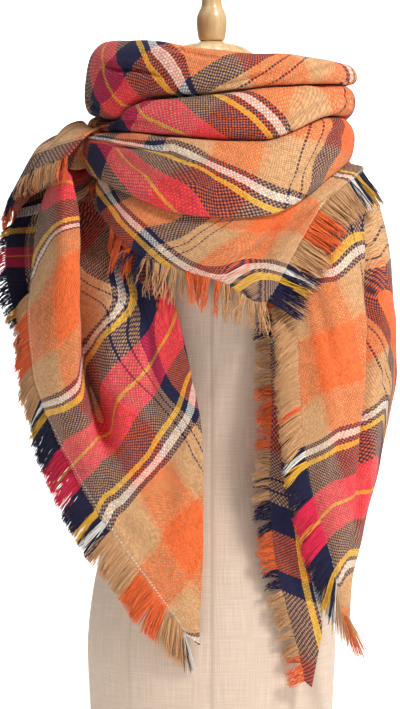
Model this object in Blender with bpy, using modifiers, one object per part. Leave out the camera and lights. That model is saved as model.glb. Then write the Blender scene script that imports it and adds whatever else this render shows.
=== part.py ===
"""Blanket scarf worn round a limbless dress form.

One square of plaid cloth with a frayed fringe is folded corner to corner and wound round the
neck of a table-top dress form.  Each stretch of the winding that shows is a shell of its own.
Lengths in the tables are millimetres; x is to the right seen from the front, y goes to the
back, z goes up, and the origin is the middle of the flat underside of the form's board.
"""

import math

import bmesh
import bpy
import numpy as np

# Driving sizes, in metres
MM = 0.001
CLOTH = 0.0022
SEAM_GAP = 0.0004
FRINGE_THICK = 0.0014
FRINGE_STRIP = 0.003
FRINGE_GAP = 0.0008
FRINGE_SINK = 0.0002
BOARD_HEIGHT = 0.014
TORSO_SIDES = 28
NECK_RADIUS = 54

# Colours and finishes: base colour, roughness
FINISHES = {
    "linen": ((0.70, 0.62, 0.52), 0.85),
    "wood": ((0.76, 0.55, 0.30), 0.35),
    "camel_wool": ((0.58, 0.36, 0.18), 0.95),
    "orange_wool": ((0.80, 0.22, 0.07), 0.95),
    "rose_wool": ((0.70, 0.05, 0.12), 0.95),
    "navy_wool": ((0.03, 0.03, 0.09), 0.95),
}

# Dress form, a row for each level: height, half width, depth to the front, depth to the back
TORSO_LEVELS = (
    (14, 150, 108, 106),
    (22, 156, 113, 110),
    (90, 160, 115, 114),
    (160, 162, 116, 117),
    (235, 153, 111, 113),
    (310, 135, 101, 98),
    (395, 117, 91, 81),
    (470, 122, 98, 82),
    (550, 135, 112, 91),
    (620, 143, 121, 97),
    (680, 150, 115, 101),
    (725, 160, 101, 101),
    (752, 161, 88, 96),
    (768, 150, 78, 89),
    (785, 130, 70, 81),
    (802, 106, 64, 73),
    (820, 80, 59, 65),
    (838, 64, 55, 59),
    (860, 56, 53, 55),
    (904, NECK_RADIUS, 52, 54),
)

# Turned neck cap, from its foot up: radius, height
CAP_PROFILE = ((52, 904.6), (54, 908), (54, 915), (50, 922), (38, 929), (22, 933), (15, 934.4))

# Turned finial, from its foot up: radius, height
FINIAL_PROFILE = (
    (14, 934.9), (16.6, 937), (18.4, 946), (19.6, 958), (18.8, 967), (16.0, 974),
    (13.4, 980), (12.6, 990), (13.0, 1000), (14.6, 1009), (15.2, 1017), (13.2, 1025), (7.5, 1030.5),
)

# Plan of the wound cloth at its fullest: middle x, middle y, half width, half depth
NECK_FOOT = (0, 0, 61.6, 57.8)
NECK_FOOT_HEIGHT = 848
PLAN_TOP = (10, -20, 174, 132)
PLAN_MID = (7, -20, 177, 138)
PLAN_LOW = (5, -20, 181, 145)

# Cowl, a row for each direction round the neck (0 is the front, 90 the right of the front view):
# direction, rim, crease under the top roll, crease under the middle roll, foot of the low roll,
# and how far in from its plan each roll's fullest part lies, top to bottom
COWL = (
    (-180, 914, 856, 808, 784, 0, 2, 8),
    (-150, 918, 852, 811, 785, 0, 4, 10),
    (-120, 923, 846, 820, 784, 0, 8, 14),
    (-98, 928, 839, 817, 778, 2, 18, 12),
    (-75, 931, 832, 815, 770, 2, 24, 6),
    (-60, 930, 830, 815, 759, 0, 20, 0),
    (-50, 929, 834, 815, 750, 0, 12, 0),
    (-42, 929, 845, 814, 741, 0, 3, 0),
    (-34, 927, 854, 812, 733, 2, 1, 0),
    (-20, 922, 857, 809, 718, 0, 0, 0),
    (-6, 916, 859, 805, 711, 0, -2, -6),
    (8, 912, 864, 803, 709, 0, -4, -8),
    (22, 911, 869, 804, 713, 2, -4, -6),
    (32, 911, 871, 812, 724, 1, -2, -3),
    (42, 910, 873, 824, 739, 0, 0, 0),
    (54, 908, 874, 833, 757, 0, 2, 3),
    (70, 906, 875, 836, 774, 0, 0, 3),
    (90, 905, 876, 834, 786, 0, 0, 4),
    (110, 907, 873, 826, 794, 0, 2, 10),
    (130, 909, 866, 818, 791, 0, 2, 12),
    (155, 912, 860, 811, 786, 0, 2, 8),
)
RIM, CREASE_ONE, CREASE_TWO, LOW_FOOT, TOP_IN, MID_IN, LOW_IN = range(7)
CREASE_GAP = 1.1
DIRECTION_STEP = 8
LOW_ARC = (-72, 120)

# Bib, the corner of the square that hangs in front, a row for each line down it: direction,
# height of the woven hem, how far in the hem and the belly lie
BIB_LINES = (
    (-60, 720, 10, 7),
    (-51, 702, 7, 3),
    (-40, 676, 6, 0),
    (-27, 655, 7, -1),
    (-11, 642, 11, -2),
    (4, 626, 9, -3),
    (20, 606, 6, -2),
    (31, 657, 3, -2),
    (44, 713, 0, -3),
    (56, 742, -3, -4),
    (70, 757, -6, -6),
    (81, 766, -8, -8),
)
BIB_TUCK = 26
BIB_SEAT = 10.0

# Valley between the bib's belly and its right flap: direction, place down the line counted in its
# four points, depth
BIB_VALLEY = ((-12, 3.2, 0), (2, 2.75, 5), (14, 2.1, 8), (24, 1.6, 8), (36, 1.7, 6), (46, 2.4, 3), (56, 3.0, 0))
BIB_VALLEY_HALF_WIDTH = 0.42

# Left end, a row for each line across it from its woven edge to its fold:
# woven edge, crest of the main roll, middle panel, folded edge
LEFT_END = (
    ((-216, 14, 722), (-196, -8, 762), (-168, -20, 770), (-152, -26, 774)),
    ((-224, 2, 718), (-197, -42, 768), (-166, -44, 765), (-147, -42, 769)),
    ((-227, -14, 702), (-191, -86, 757), (-155.6, -84.4, 748), (-134, -66, 760)),
    ((-229, -26, 672), (-188, -118, 706), (-141.3, -87.4, 706), (-112, -95, 708)),
    ((-232, -34, 634), (-189, -133, 655), (-124, -104, 658), (-80, -108, 664)),
    ((-235, -42, 592), (-192, -138, 602), (-108, -124, 603), (-50, -130, 614)),
    ((-234, -50, 550), (-195, -135, 552), (-99, -128, 553), (-35, -137, 560)),
    ((-226, -63, 505), (-193, -130, 502), (-93, -131, 503), (-24, -140, 508)),
    ((-213, -81, 466), (-180, -127, 458), (-85, -132, 456), (-14, -140, 458)),
    ((-190, -101, 420), (-157, -128, 411), (-75, -134, 406), (-11, -140, 404)),
    ((-160, -118, 366), (-130, -131, 359), (-63, -135, 352), (-11, -137, 348)),
    ((-125, -127, 311), (-100, -133, 306), (-50, -135, 300), (-11, -132, 296)),
    ((-88, -130, 261), (-70, -133, 257), (-38, -134, 252), (-13, -130, 248)),
    ((-53, -130, 216), (-43, -132, 212), (-28, -132, 207), (-16, -129, 203)),
    ((-36, -130, 192), (-30, -131, 187), (-22, -131, 181), (-15, -129, 176)),
)

# Layer behind the left end: woven edge, middle, inner edge
LEFT_UNDER = (
    ((-236, 44, 737), (-210, 48, 747), (-178, 44, 751)),
    ((-252, 18, 714), (-228, 30, 720), (-188, 34, 724)),
    ((-263, -2, 682), (-236, 15, 684), (-192, 18, 688)),
    ((-265, -11, 645), (-239, 4, 645), (-191, 2, 648)),
    ((-259, -17, 606), (-236, -8, 604), (-187, -18, 602)),
    ((-243, -28, 566), (-218, -26, 560), (-174, -50, 556)),
    ((-229, -40, 520), (-200, -48, 512), (-156, -76, 504)),
    ((-206, -60, 470), (-178, -75, 460), (-134, -94, 450)),
    ((-175, -84, 414), (-150, -97, 406), (-112, -108, 396)),
    ((-138, -104, 352), (-120, -110, 344), (-95, -115, 336)),
    ((-109, -112, 306), (-100, -114, 301), (-88, -116, 296)),
)

# Right end, a row for each line across it from its inner edge to its outer fold:
# inner (woven) edge, front panel, valley, outer side, outer fold
RIGHT_END = (
    ((48, 101, 788), (49, 105, 777), (50, 108, 766), (50, 110, 754), (50, 111, 744)),
    ((98, 82, 790), (101, 88, 774), (103, 92, 758), (104, 96, 740), (105, 101, 722)),
    ((134, 50, 790), (139, 60, 772), (150, 72, 744), (165, 82, 718), (177, 90, 690)),
    ((159, 18, 793), (180, 30, 768), (198, 44, 742), (212, 58, 710), (223, 68, 672)),
    ((172, -20, 786), (191, -10, 764), (209, 8, 742), (226, 28, 700), (237, 44, 632)),
    ((163, -52, 768), (182, -56, 750), (202, -46, 726), (227, -12, 674), (240, 20, 588)),
    ((133, -82, 736), (160, -90, 716), (195, -82, 686), (227, -42, 630), (241, 4, 545)),
    ((112, -112, 672), (152, -121, 650), (197, -95, 622), (230, -56, 578), (240, -5, 500)),
    ((102, -131, 606), (152, -141, 588), (198, -102, 567), (229, -64, 530), (233, -12, 462)),
    ((105, -144, 538), (152, -147, 521), (195, -107, 504), (220, -72, 480), (226, -22, 430)),
    ((108, -145, 472), (152, -145, 456), (190, -112, 440), (210, -82, 420), (214, -42, 385)),
    ((114, -143, 416), (151, -143, 401), (184, -115, 386), (200, -92, 368), (203, -58, 345)),
    ((126, -136, 356), (152, -139, 344), (177, -119, 332), (188, -102, 320), (191, -78, 305)),
    ((145, -129, 296), (156, -132, 289), (170, -122, 282), (178, -110, 274), (181, -96, 265)),
    ((153, -125, 254), (160, -127, 249), (167, -122, 244), (173, -114, 238), (176, -102, 232)),
    ((158, -121, 222), (162, -123, 216), (166, -122, 212), (170, -118, 209), (173, -109, 206)),
)

# Layer behind the right end: woven edge, middle, inner edge
RIGHT_UNDER = (
    ((88, -112, 650), (112, -118.6, 642), (140, -114, 632)),
    ((76, -122, 600), (108, -133, 590), (142, -129, 576)),
    ((72, -126, 540), (106, -135, 530), (144, -133, 516)),
    ((74, -127, 480), (108, -136, 470), (146, -132, 456)),
    ((72, -126, 420), (108, -134, 410), (146, -129, 396)),
    ((71, -123, 372), (106, -131, 360), (144, -125, 346)),
    ((75, -120, 316), (104, -126, 304), (138, -120, 290)),
    ((85, -118, 254), (108, -122, 244), (138, -117, 234)),
    ((98, -115, 204), (116, -119, 196), (138, -116, 188)),
    ((110, -112, 158), (120, -115, 152), (131, -114, 146)),
    ((117, -111, 126), (121, -112, 122), (126, -112, 118)),
)

# Wrap that crosses the back under the middle roll and lies over the left shoulder, a row for each
# direction: how far in from the low roll's plan and how high are its tucked edge, its shoulder,
# its middle and its woven hem
LEFT_WRAP = (
    (112, 7.8, 812, 7.2, 810, 7.2, 807, 7.6, 805),
    (119, 9.9, 815, 7.6, 809, 7.4, 804, 7.8, 799),
    (127, 14, 817, 7.0, 807, 6.0, 798, 6.0, 788),
    (136, 28, 814, 3.0, 802, 1.0, 789, 1.0, 775),
    (148, 31, 810, 0.0, 799, -3, 778, -3, 758),
    (162, 31, 807, 0.0, 797, -5, 766, -7, 737),
    (180, 30, 806.5, 0.0, 795, -9, 758, -13, 716),
    (200, 30, 808, -2, 796, -16, 756, -24, 705),
    (226, 31, 815, -5, 806, -36, 758, -59, 700),
    (246, 14, 824, -6, 822, -50, 774, -84, 704),
    (262, 16, 824, 1, 832, -50, 792, -88, 724),
    (276, 20, 823, 1, 828, -43, 800, -70, 756),
    (287, 20, 822, 2, 822, -27, 800, -47, 774),
    (296, 18, 822.5, 0.5, 813, -14, 798, -27, 784),
)

# Soft troughs pressed into a panel: place across counted in the table's columns, first and last
# place down it, depth, half width
LEFT_FOLDS = ((1.38, 0.10, 0.60, 36, 13),)
RIGHT_FOLDS = ((2.0, 0.30, 0.80, 9, 16),)

# Lines down the left end, closer together beside its deep trough
LEFT_PLACES = (0, 0.35, 0.7, 0.98, 1.14, 1.26, 1.38, 1.5, 1.64, 1.9, 2.2, 2.5, 3)


def clear_scene():
    """Empty the file that the script starts in."""
    for item in list(bpy.data.objects):
        bpy.data.objects.remove(item, do_unlink=True)


def finish_of(name):
    """Plain material in one of the colours of the yarns, the linen or the wood."""
    found = bpy.data.materials.get(name)
    if found:
        return found
    colour, roughness = FINISHES[name]
    made = bpy.data.materials.new(name)
    made.use_nodes = True
    shader = made.node_tree.nodes["Principled BSDF"]
    shader.inputs["Base Color"].default_value = (*colour, 1.0)
    shader.inputs["Roughness"].default_value = roughness
    shader.inputs["Metallic"].default_value = 0.0
    return made


def add_object(name, mesh, finish, collection):
    """Put a finished mesh in the scene under its node's name."""
    made = bpy.data.objects.new(name, mesh)
    collection.objects.link(made)
    mesh.materials.append(finish_of(finish))
    return made


def smooth_through(points, places, closed=False):
    """Points of a smooth curve through the rows of `points`, at places counted in rows."""
    points = np.asarray(points, float)
    places = np.asarray(places, float)
    last = len(points) if closed else len(points) - 1
    start = np.clip(np.floor(places).astype(int), 0, last - 1)
    part = (places - start).reshape((-1,) + (1,) * (points.ndim - 1))
    if closed:
        rows = [points[(start + shift) % len(points)] for shift in (-1, 0, 1, 2)]
    else:
        ends = np.concatenate([2 * points[:1] - points[1:2], points, 2 * points[-1:] - points[-2:-1]])
        rows = [ends[start + shift] for shift in (0, 1, 2, 3)]
    before, first, second, after = rows
    return 0.5 * (2 * first + (second - before) * part
                  + (2 * before - 5 * first + 4 * second - after) * part ** 2
                  + (3 * first - before - 3 * second + after) * part ** 3)


def cowl_rows(directions):
    """Read the cowl's table at any direction, smoothly between its rows."""
    table = np.asarray(COWL, float)
    turned = (np.asarray(directions, float) - table[0, 0]) % 360 + table[0, 0]
    angles = np.append(table[:, 0], table[0, 0] + 360)
    places = np.interp(turned, angles, np.arange(len(angles)))
    return smooth_through(table[:, 1:], places, closed=True).T


def plan_points(plan, directions, inset):
    """Points of the wound cloth's oval plan, moved in towards its middle."""
    mid_x, mid_y, half_width, half_depth = plan
    angle = np.radians(directions)
    out = np.stack([np.sin(angle), -np.cos(angle)], axis=-1)
    place = np.stack([mid_x + half_width * out[:, 0], mid_y + half_depth * out[:, 1]], axis=-1)
    inward = -out
    return place + inward * np.reshape(inset, (-1, 1))


def roll_surface(plan, directions, edges, tucks, fullness, steps):
    """A roll: half an oval section, carried round the neck between its two creases."""
    top, bottom, inset = edges
    grid = np.zeros((len(directions), steps + 1, 3))
    for step in range(steps + 1):
        turn = math.pi * (0.5 - step / steps)
        reach = max(math.cos(turn), 0.0) ** fullness
        tuck = tucks[0] if turn > 0 else tucks[1]
        grid[:, step, :2] = plan_points(plan, directions, inset + tuck * (1 - reach))
        grid[:, step, 2] = 0.5 * (top + bottom) + 0.5 * (top - bottom) * math.sin(turn)
    return grid


def top_roll_surface(directions):
    """The top roll goes up over its rim and down inside to the foot of the neck."""
    rows = cowl_rows(directions)
    rim, inset = rows[RIM], rows[TOP_IN]
    crease = rows[CREASE_ONE] + CREASE_GAP / 2
    outer = ((24, 0.00), (6, 0.07), (0, 0.26), (0, 0.52), (5, 0.78), (14, 0.93), (24, 1.0), (35, 0.96))
    inner = ((0.28, 0.25), (0.66, 0.62), (1.0, 1.0))
    columns = []
    for inward, share in outer:
        flat = plan_points(PLAN_TOP, directions, inset + inward)
        columns.append(np.column_stack([flat, crease + (rim - crease) * share]))
    edge = columns[-1]
    foot = np.column_stack([plan_points(NECK_FOOT, directions, 0), np.full(len(rim), NECK_FOOT_HEIGHT)])
    for share, fall in inner:
        step = edge + (foot - edge) * share
        step[:, 2] = edge[:, 2] + (foot[:, 2] - edge[:, 2]) * fall
        columns.append(step)
    return np.stack(columns, axis=1)[:, ::-1]


def press_folds(grid, normals, places, folds):
    """Press soft troughs into a panel, deepest at their middle and fading at both ends."""
    down = np.linspace(0, 1, grid.shape[0])
    moved = grid.copy()
    for across, first, last, depth, half_width in folds:
        widths = np.linalg.norm(np.diff(grid, axis=1), axis=2)
        run = np.concatenate([np.zeros((grid.shape[0], 1)), np.cumsum(widths, axis=1)], axis=1)
        middle = np.array([np.interp(across, places, row) for row in run]).reshape(-1, 1)
        shape = np.exp(-((run - middle) / half_width) ** 2)
        fade = np.clip(np.minimum(down - first, last - down) / (0.25 * (last - first)), 0, 1)
        fade = (fade * fade * (3 - 2 * fade)).reshape(-1, 1)
        moved -= normals * (depth * shape * fade)[..., None]
    return moved


def grid_normals(grid):
    """Unit normals of a grid: the run across it crossed with the run down it."""
    along = np.gradient(grid, axis=0)
    across = np.gradient(grid, axis=1)
    normal = np.cross(across, along)
    size = np.linalg.norm(normal, axis=2, keepdims=True)
    return normal / np.maximum(size, 1e-9)


def wrap_surface(down, across):
    """The wrap over the back: its table read by direction, turned into places round the cowl."""
    rows = smooth_through(LEFT_WRAP, np.linspace(0, len(LEFT_WRAP) - 1, down + 1))
    columns = [np.column_stack([plan_points(PLAN_LOW, rows[:, 0], rows[:, at]), rows[:, at + 1]])
               for at in (1, 3, 5, 7)]
    columns = smooth_through(np.stack(columns), np.linspace(0, 3, across + 1))
    return np.swapaxes(columns, 0, 1)


def panel_surface(table, down, places, folds=(), flip=False):
    """A hanging panel: a smooth surface through its table, with its troughs pressed in."""
    table = np.asarray(table, float)
    rows = smooth_through(table, np.linspace(0, len(table) - 1, down + 1))
    columns = smooth_through(np.swapaxes(rows, 0, 1), places)
    grid = np.swapaxes(columns, 0, 1)
    normals = grid_normals(grid) * (-1 if flip else 1)
    return press_folds(grid, normals, places, folds)


def turn_under(grid, normals, side, gap):
    """Turn a panel's last edge under: a small rounded return behind its fold."""
    edge = grid[:, -1]
    inward = grid[:, -2] - edge
    inward /= np.maximum(np.linalg.norm(inward, axis=1, keepdims=True), 1e-9)
    width = np.linalg.norm(grid[:, 0] - edge, axis=1, keepdims=True)
    side = np.minimum(side, width * 0.5)
    behind = -normals[:, -1] * np.clip(width * 0.35, 6.5, gap)
    extra = [edge + inward * side * 0.1 + behind * 0.75, edge + inward * side + behind]
    return np.concatenate([grid, np.stack(extra, axis=1)], axis=1)


def cloth_from_grid(name, grid, finish, collection, closed=False, flip=False):
    """Turn a grid of millimetre points into a cloth shell with its thickness inwards."""
    rows, columns = grid.shape[:2]
    corners = [tuple(point) for point in (grid.reshape(-1, 3) * MM)]
    faces = []
    for row in range(rows if closed else rows - 1):
        following = (row + 1) % rows
        for column in range(columns - 1):
            face = (row * columns + column, row * columns + column + 1,
                    following * columns + column + 1, following * columns + column)
            faces.append(face[::-1] if flip else face)
    mesh = bpy.data.meshes.new(name)
    mesh.from_pydata(corners, [], faces)
    mesh.validate()
    mesh.shade_smooth()
    made = add_object(name, mesh, finish, collection)
    wall = made.modifiers.new("cloth", "SOLIDIFY")
    wall.thickness = CLOTH
    wall.offset = -1.0
    wall.use_even_offset = False
    return made


def comb_fringe(name, hem, per_step, length, lean, fall, finish, collection, seed):
    """A narrow strip along a hem with its strands: each is a flat lock that tapers to a point."""
    rng = np.random.default_rng(seed)
    line, outward, face = hem
    strands = (len(line) - 1) * per_step
    marks = np.linspace(0, len(line) - 1, strands + 1)
    steps = np.arange(len(line))
    place, out, face = [np.stack([np.interp(marks, steps, part[:, axis]) for axis in range(3)], axis=1)
                        for part in (line * MM, outward, face)]
    along = np.gradient(place, axis=0)
    along /= np.linalg.norm(along, axis=1, keepdims=True)
    out -= along * np.sum(out * along, axis=1, keepdims=True)
    out /= np.linalg.norm(out, axis=1, keepdims=True)
    face /= np.linalg.norm(face, axis=1, keepdims=True)
    inner_top = place + out * FRINGE_GAP - face * FRINGE_SINK
    inner_low = inner_top - face * FRINGE_THICK
    outer_top = inner_top + out * FRINGE_STRIP
    outer_low = inner_low + out * FRINGE_STRIP
    corners = [inner_top, inner_low, outer_top, outer_low]
    count = strands + 1
    faces = []
    for here in range(strands):
        there = here + 1
        faces.append((here, there, count * 2 + there, count * 2 + here))
        faces.append((count + there, count + here, count * 3 + here, count * 3 + there))
        faces.append((there, here, count + here, count + there))
        reach = length * MM * rng.uniform(0.82, 1.08)
        heading = out[here] + out[there] + 2 * np.array(lean) + rng.normal(0, 0.09, 3)
        heading /= np.linalg.norm(heading)
        lift = (face[here] + face[there]) / 2
        middle = (outer_top[here] + outer_low[here] + outer_top[there] + outer_low[there]) / 4
        wide = (outer_top[there] - outer_top[here]) * 0.34
        down = np.array((0, 0, -fall * reach))
        bend = middle + heading * reach * 0.5 + down * 0.15
        tip = bend + heading * reach * 0.5 * (1 - fall) + down * 0.5
        thick = lift * FRINGE_THICK * 0.45
        first = count * 4 + here * 5
        corners.append([bend - wide + thick, bend + wide + thick, bend + wide - thick,
                        bend - wide - thick, tip])
        root = (count * 2 + here, count * 2 + there, count * 3 + there, count * 3 + here)
        for side in range(4):
            after = (side + 1) % 4
            faces.append((root[side], root[after], first + after, first + side))
            faces.append((first + side, first + after, first + 4))
    faces.append((0, count * 2, count * 3, count))
    faces.append((strands, count + strands, count * 3 + strands, count * 2 + strands))
    mesh = bpy.data.meshes.new(name)
    mesh.from_pydata([tuple(point) for point in np.concatenate(corners)], [], faces)
    shape = bmesh.new()
    shape.from_mesh(mesh)
    bmesh.ops.recalc_face_normals(shape, faces=shape.faces)
    shape.to_mesh(mesh)
    shape.free()
    return add_object(name, mesh, finish, collection)


def hem_of(grid, normals, edge, first, last):
    """Stretch of a panel's hem: its line, the way out across it, and the way its face looks."""
    inner = -2 if edge == -1 else 1
    part = slice(first, last)
    return grid[part, edge], grid[part, edge] - grid[part, inner], normals[part, edge]


def lathe(name, profile, sides, finish, collection):
    """A turned piece: its profile swept round the form's axis, top to bottom."""
    corners = [(0.0, 0.0, profile[-1][1] * MM)]
    corners += [(radius * MM, 0.0, height * MM) for radius, height in reversed(profile)]
    corners.append((0.0, 0.0, profile[0][1] * MM))
    mesh = bpy.data.meshes.new(name)
    mesh.from_pydata(corners, [(at, at + 1) for at in range(len(corners) - 1)], [])
    made = add_object(name, mesh, finish, collection)
    turned = made.modifiers.new("turning", "SCREW")
    turned.axis = "Z"
    turned.angle = math.tau
    turned.steps = sides
    turned.render_steps = sides
    turned.use_merge_vertices = True
    turned.merge_threshold = 0.0001
    turned.use_smooth_shade = True
    return made


def oval_outline(half_width, front, back, sides):
    """An oval that is deeper or flatter behind than in front."""
    angle = np.linspace(0, math.tau, sides, endpoint=False)
    across = np.sin(angle)
    along = -np.cos(angle)
    return np.column_stack([half_width * across, np.where(along < 0, front, back) * along])


def build_form(collection):
    """Torso of the dress form, its board, its neck cap and its finial."""
    levels = np.asarray(TORSO_LEVELS, float)
    corners = []
    for height, half_width, front, back in levels:
        outline = oval_outline(half_width, front, back, TORSO_SIDES)
        corners += [(x * MM, y * MM, height * MM + SEAM_GAP * (height == BOARD_HEIGHT / MM))
                    for x, y in outline]
    faces = [tuple(range(TORSO_SIDES))[::-1]]
    for level in range(len(levels) - 1):
        for side in range(TORSO_SIDES):
            after = (side + 1) % TORSO_SIDES
            base = level * TORSO_SIDES
            faces.append((base + side, base + after, base + TORSO_SIDES + after,
                          base + TORSO_SIDES + side))
    faces.append(tuple(range((len(levels) - 1) * TORSO_SIDES, len(levels) * TORSO_SIDES)))
    mesh = bpy.data.meshes.new("form_torso")
    mesh.from_pydata(corners, [], faces)
    mesh.shade_smooth()
    add_object("form_torso", mesh, "linen", collection)

    board = bmesh.new()
    bmesh.ops.create_cone(board, cap_ends=True, segments=TORSO_SIDES, radius1=1, radius2=1,
                          depth=BOARD_HEIGHT)
    for corner in board.verts:
        corner.co.x *= 150 * MM
        corner.co.y *= 107 * MM
        corner.co.z += BOARD_HEIGHT / 2
    mesh = bpy.data.meshes.new("form_base")
    board.to_mesh(mesh)
    board.free()
    add_object("form_base", mesh, "wood", collection)

    lathe("form_neck_cap", CAP_PROFILE, 28, "wood", collection)
    lathe("form_finial", FINIAL_PROFILE, 20, "wood", collection)


def build_cowl(collection):
    """The three rolls wound round the neck, each tucked in at the creases between them."""
    around = np.arange(-184, 176, DIRECTION_STEP)
    cloth_from_grid("cowl_roll_top", top_roll_surface(around), "orange_wool", collection, closed=True)
    rows = cowl_rows(around)
    edges = (rows[CREASE_ONE] - CREASE_GAP / 2, rows[CREASE_TWO] + CREASE_GAP / 2, rows[MID_IN])
    cloth_from_grid("cowl_roll_mid", roll_surface(PLAN_MID, around, edges, (24, 22), 0.62, 6),
                    "rose_wool", collection, closed=True)
    arc = np.arange(LOW_ARC[0], LOW_ARC[1] + 1, DIRECTION_STEP)
    rows = cowl_rows(arc)
    edges = (rows[CREASE_TWO] - CREASE_GAP / 2, rows[LOW_FOOT], rows[LOW_IN])
    cloth_from_grid("cowl_roll_low", roll_surface(PLAN_LOW, arc, edges, (24, 9), 0.62, 7),
                    "orange_wool", collection)


def bib_surface(down, across):
    """The bib: lines down from behind the low roll's crease, over its belly, to its woven hem."""
    lines = smooth_through(BIB_LINES, np.linspace(0, len(BIB_LINES) - 1, down + 1))
    direction, hem, hem_in, belly_in = lines.T
    rows = cowl_rows(direction)
    crease, low_in = rows[LOW_FOOT], rows[LOW_IN]
    columns = []
    for inset, height in ((BIB_TUCK + low_in, crease + 14), (BIB_SEAT + low_in, crease - 1),
                          (belly_in, crease + (hem - crease) * 0.5), (hem_in, hem)):
        flat = plan_points(PLAN_LOW, direction, inset)
        columns.append(np.column_stack([flat, height]))
    places = np.linspace(0, 3, across + 1)
    grid = np.swapaxes(smooth_through(np.stack(columns), places), 0, 1)
    turned, middle, depth = np.asarray(BIB_VALLEY, float).T
    middle = np.interp(direction, turned, middle).reshape(-1, 1)
    depth = np.interp(direction, turned, depth, 0, 0).reshape(-1, 1)
    shape = depth * np.exp(-((places - middle) / BIB_VALLEY_HALF_WIDTH) ** 2)
    return grid - grid_normals(grid) * shape[..., None]


def build_bib(collection):
    """The corner of the square that hangs in front, with a fringe on both its edges."""
    grid = bib_surface(27, 9)
    cloth_from_grid("bib", grid, "camel_wool", collection)
    normals = grid_normals(grid)
    corner = 15
    comb_fringe("fringe_bib_left", hem_of(grid, normals, -1, 3, corner), 2, 30, (0.15, -0.5, -0.6), 0.3,
                "orange_wool", collection, 3)
    comb_fringe("fringe_bib_right", hem_of(grid, normals, -1, corner, 27), 2, 44, (0.8, -0.55, -0.3),
                0.05, "camel_wool", collection, 4)


def build_left(collection):
    """The end that hangs on the left, the layer behind it and the wrap over that shoulder."""
    grid = panel_surface(LEFT_END, 30, LEFT_PLACES, LEFT_FOLDS, flip=True)
    normals = -grid_normals(grid)
    cloth_from_grid("end_left", turn_under(grid, normals, 26, 9), "camel_wool", collection, flip=True)
    comb_fringe("fringe_end_left", hem_of(grid, normals, 0, 10, None), 2, 38, (-0.8, -0.4, -0.5), 0.3,
                "orange_wool", collection, 5)

    grid = panel_surface(LEFT_UNDER, 16, np.linspace(0, 2, 6), flip=True)
    normals = -grid_normals(grid)
    cloth_from_grid("end_left_under", grid, "navy_wool", collection, flip=True)
    comb_fringe("fringe_left_under", hem_of(grid, normals, 0, 3, 8), 2, 15, (-0.6, 0.0, -0.6), 0.4,
                "orange_wool", collection, 6)

    grid = wrap_surface(28, 7)
    normals = grid_normals(grid)
    cloth_from_grid("wrap_left", grid, "camel_wool", collection)
    comb_fringe("fringe_wrap_left", hem_of(grid, normals, -1, 7, None), 2, 22, (0, 0.1, -0.4), 0.4,
                "camel_wool", collection, 7)


def build_right(collection):
    """The end that hangs on the right, from the crossing behind the neck, and its back layer."""
    grid = panel_surface(RIGHT_END, 34, np.linspace(0, 4, 9), RIGHT_FOLDS, flip=True)
    normals = -grid_normals(grid)
    cloth_from_grid("end_right", turn_under(grid, normals, 22, 9), "orange_wool", collection, flip=True)
    comb_fringe("fringe_end_right", hem_of(grid, normals, 0, 18, None), 2, 32, (-0.6, -0.95, -0.5), 0.3,
                "orange_wool", collection, 8)

    grid = panel_surface(RIGHT_UNDER, 20, np.linspace(0, 2, 5), flip=True)
    normals = -grid_normals(grid)
    cloth_from_grid("end_right_under", grid, "navy_wool", collection, flip=True)
    comb_fringe("fringe_right_under", hem_of(grid, normals, 0, 2, None), 2, 22, (-0.6, -0.1, -0.2), 0.2,
                "orange_wool", collection, 9)


def main():
    """Build the whole scarf on its dress form."""
    clear_scene()
    collection = bpy.data.collections.new("blanket_scarf_on_dress_form")
    bpy.context.scene.collection.children.link(collection)
    build_form(collection)
    build_cowl(collection)
    build_bib(collection)
    build_left(collection)
    build_right(collection)


main()
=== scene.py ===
"""Blanket scarf in a woven check, wound round the neck of a limbless dress form: its looks."""
import math

import bpy
import numpy as np
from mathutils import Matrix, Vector


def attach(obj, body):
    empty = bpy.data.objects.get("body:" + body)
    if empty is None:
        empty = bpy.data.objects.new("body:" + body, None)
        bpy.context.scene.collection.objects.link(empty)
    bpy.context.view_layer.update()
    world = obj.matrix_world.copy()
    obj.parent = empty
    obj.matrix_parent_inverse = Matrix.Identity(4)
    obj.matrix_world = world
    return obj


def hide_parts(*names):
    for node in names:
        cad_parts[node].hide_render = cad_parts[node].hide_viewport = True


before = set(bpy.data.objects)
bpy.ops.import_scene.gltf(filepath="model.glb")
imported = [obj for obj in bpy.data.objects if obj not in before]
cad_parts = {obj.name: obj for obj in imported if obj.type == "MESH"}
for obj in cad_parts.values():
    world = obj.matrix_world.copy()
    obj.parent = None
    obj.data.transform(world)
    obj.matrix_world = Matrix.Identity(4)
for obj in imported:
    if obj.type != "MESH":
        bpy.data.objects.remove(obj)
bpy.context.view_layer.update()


# Linen torso. A padded torso with no head or limbs, covered in natural linen cut in eight
# upright panels; their seams are pressed open and show as narrow grooves down the front, the
# sides and the back. Each row: height, half width, depth in front and depth behind.
TORSO_LEVELS = (
    (14, 150, 108, 106),
    (22, 156, 113, 110),
    (90, 160, 115, 114),
    (160, 162, 116, 117),
    (235, 153, 111, 113),
    (310, 135, 101, 98),
    (395, 117, 91, 81),
    (470, 122, 98, 82),
    (550, 135, 112, 91),
    (620, 143, 121, 97),
    (680, 150, 115, 101),
    (725, 160, 101, 101),
    (752, 161, 88, 96),
    (768, 150, 78, 89),
    (785, 130, 70, 81),
    (802, 106, 64, 73),
    (820, 80, 59, 65),
    (838, 64, 55, 59),
    (860, 56, 53, 55),
    (904, 54, 52, 54),
)
PANEL_SEAMS = (0, 41, 90, 139, 180, 221, 270, 319)
SEAM_HALF_WIDTH = 1.8
SEAM_DEPTH = 0.9
BOARD_GAP = 0.4
MEAN_RADIUS = 140


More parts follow.
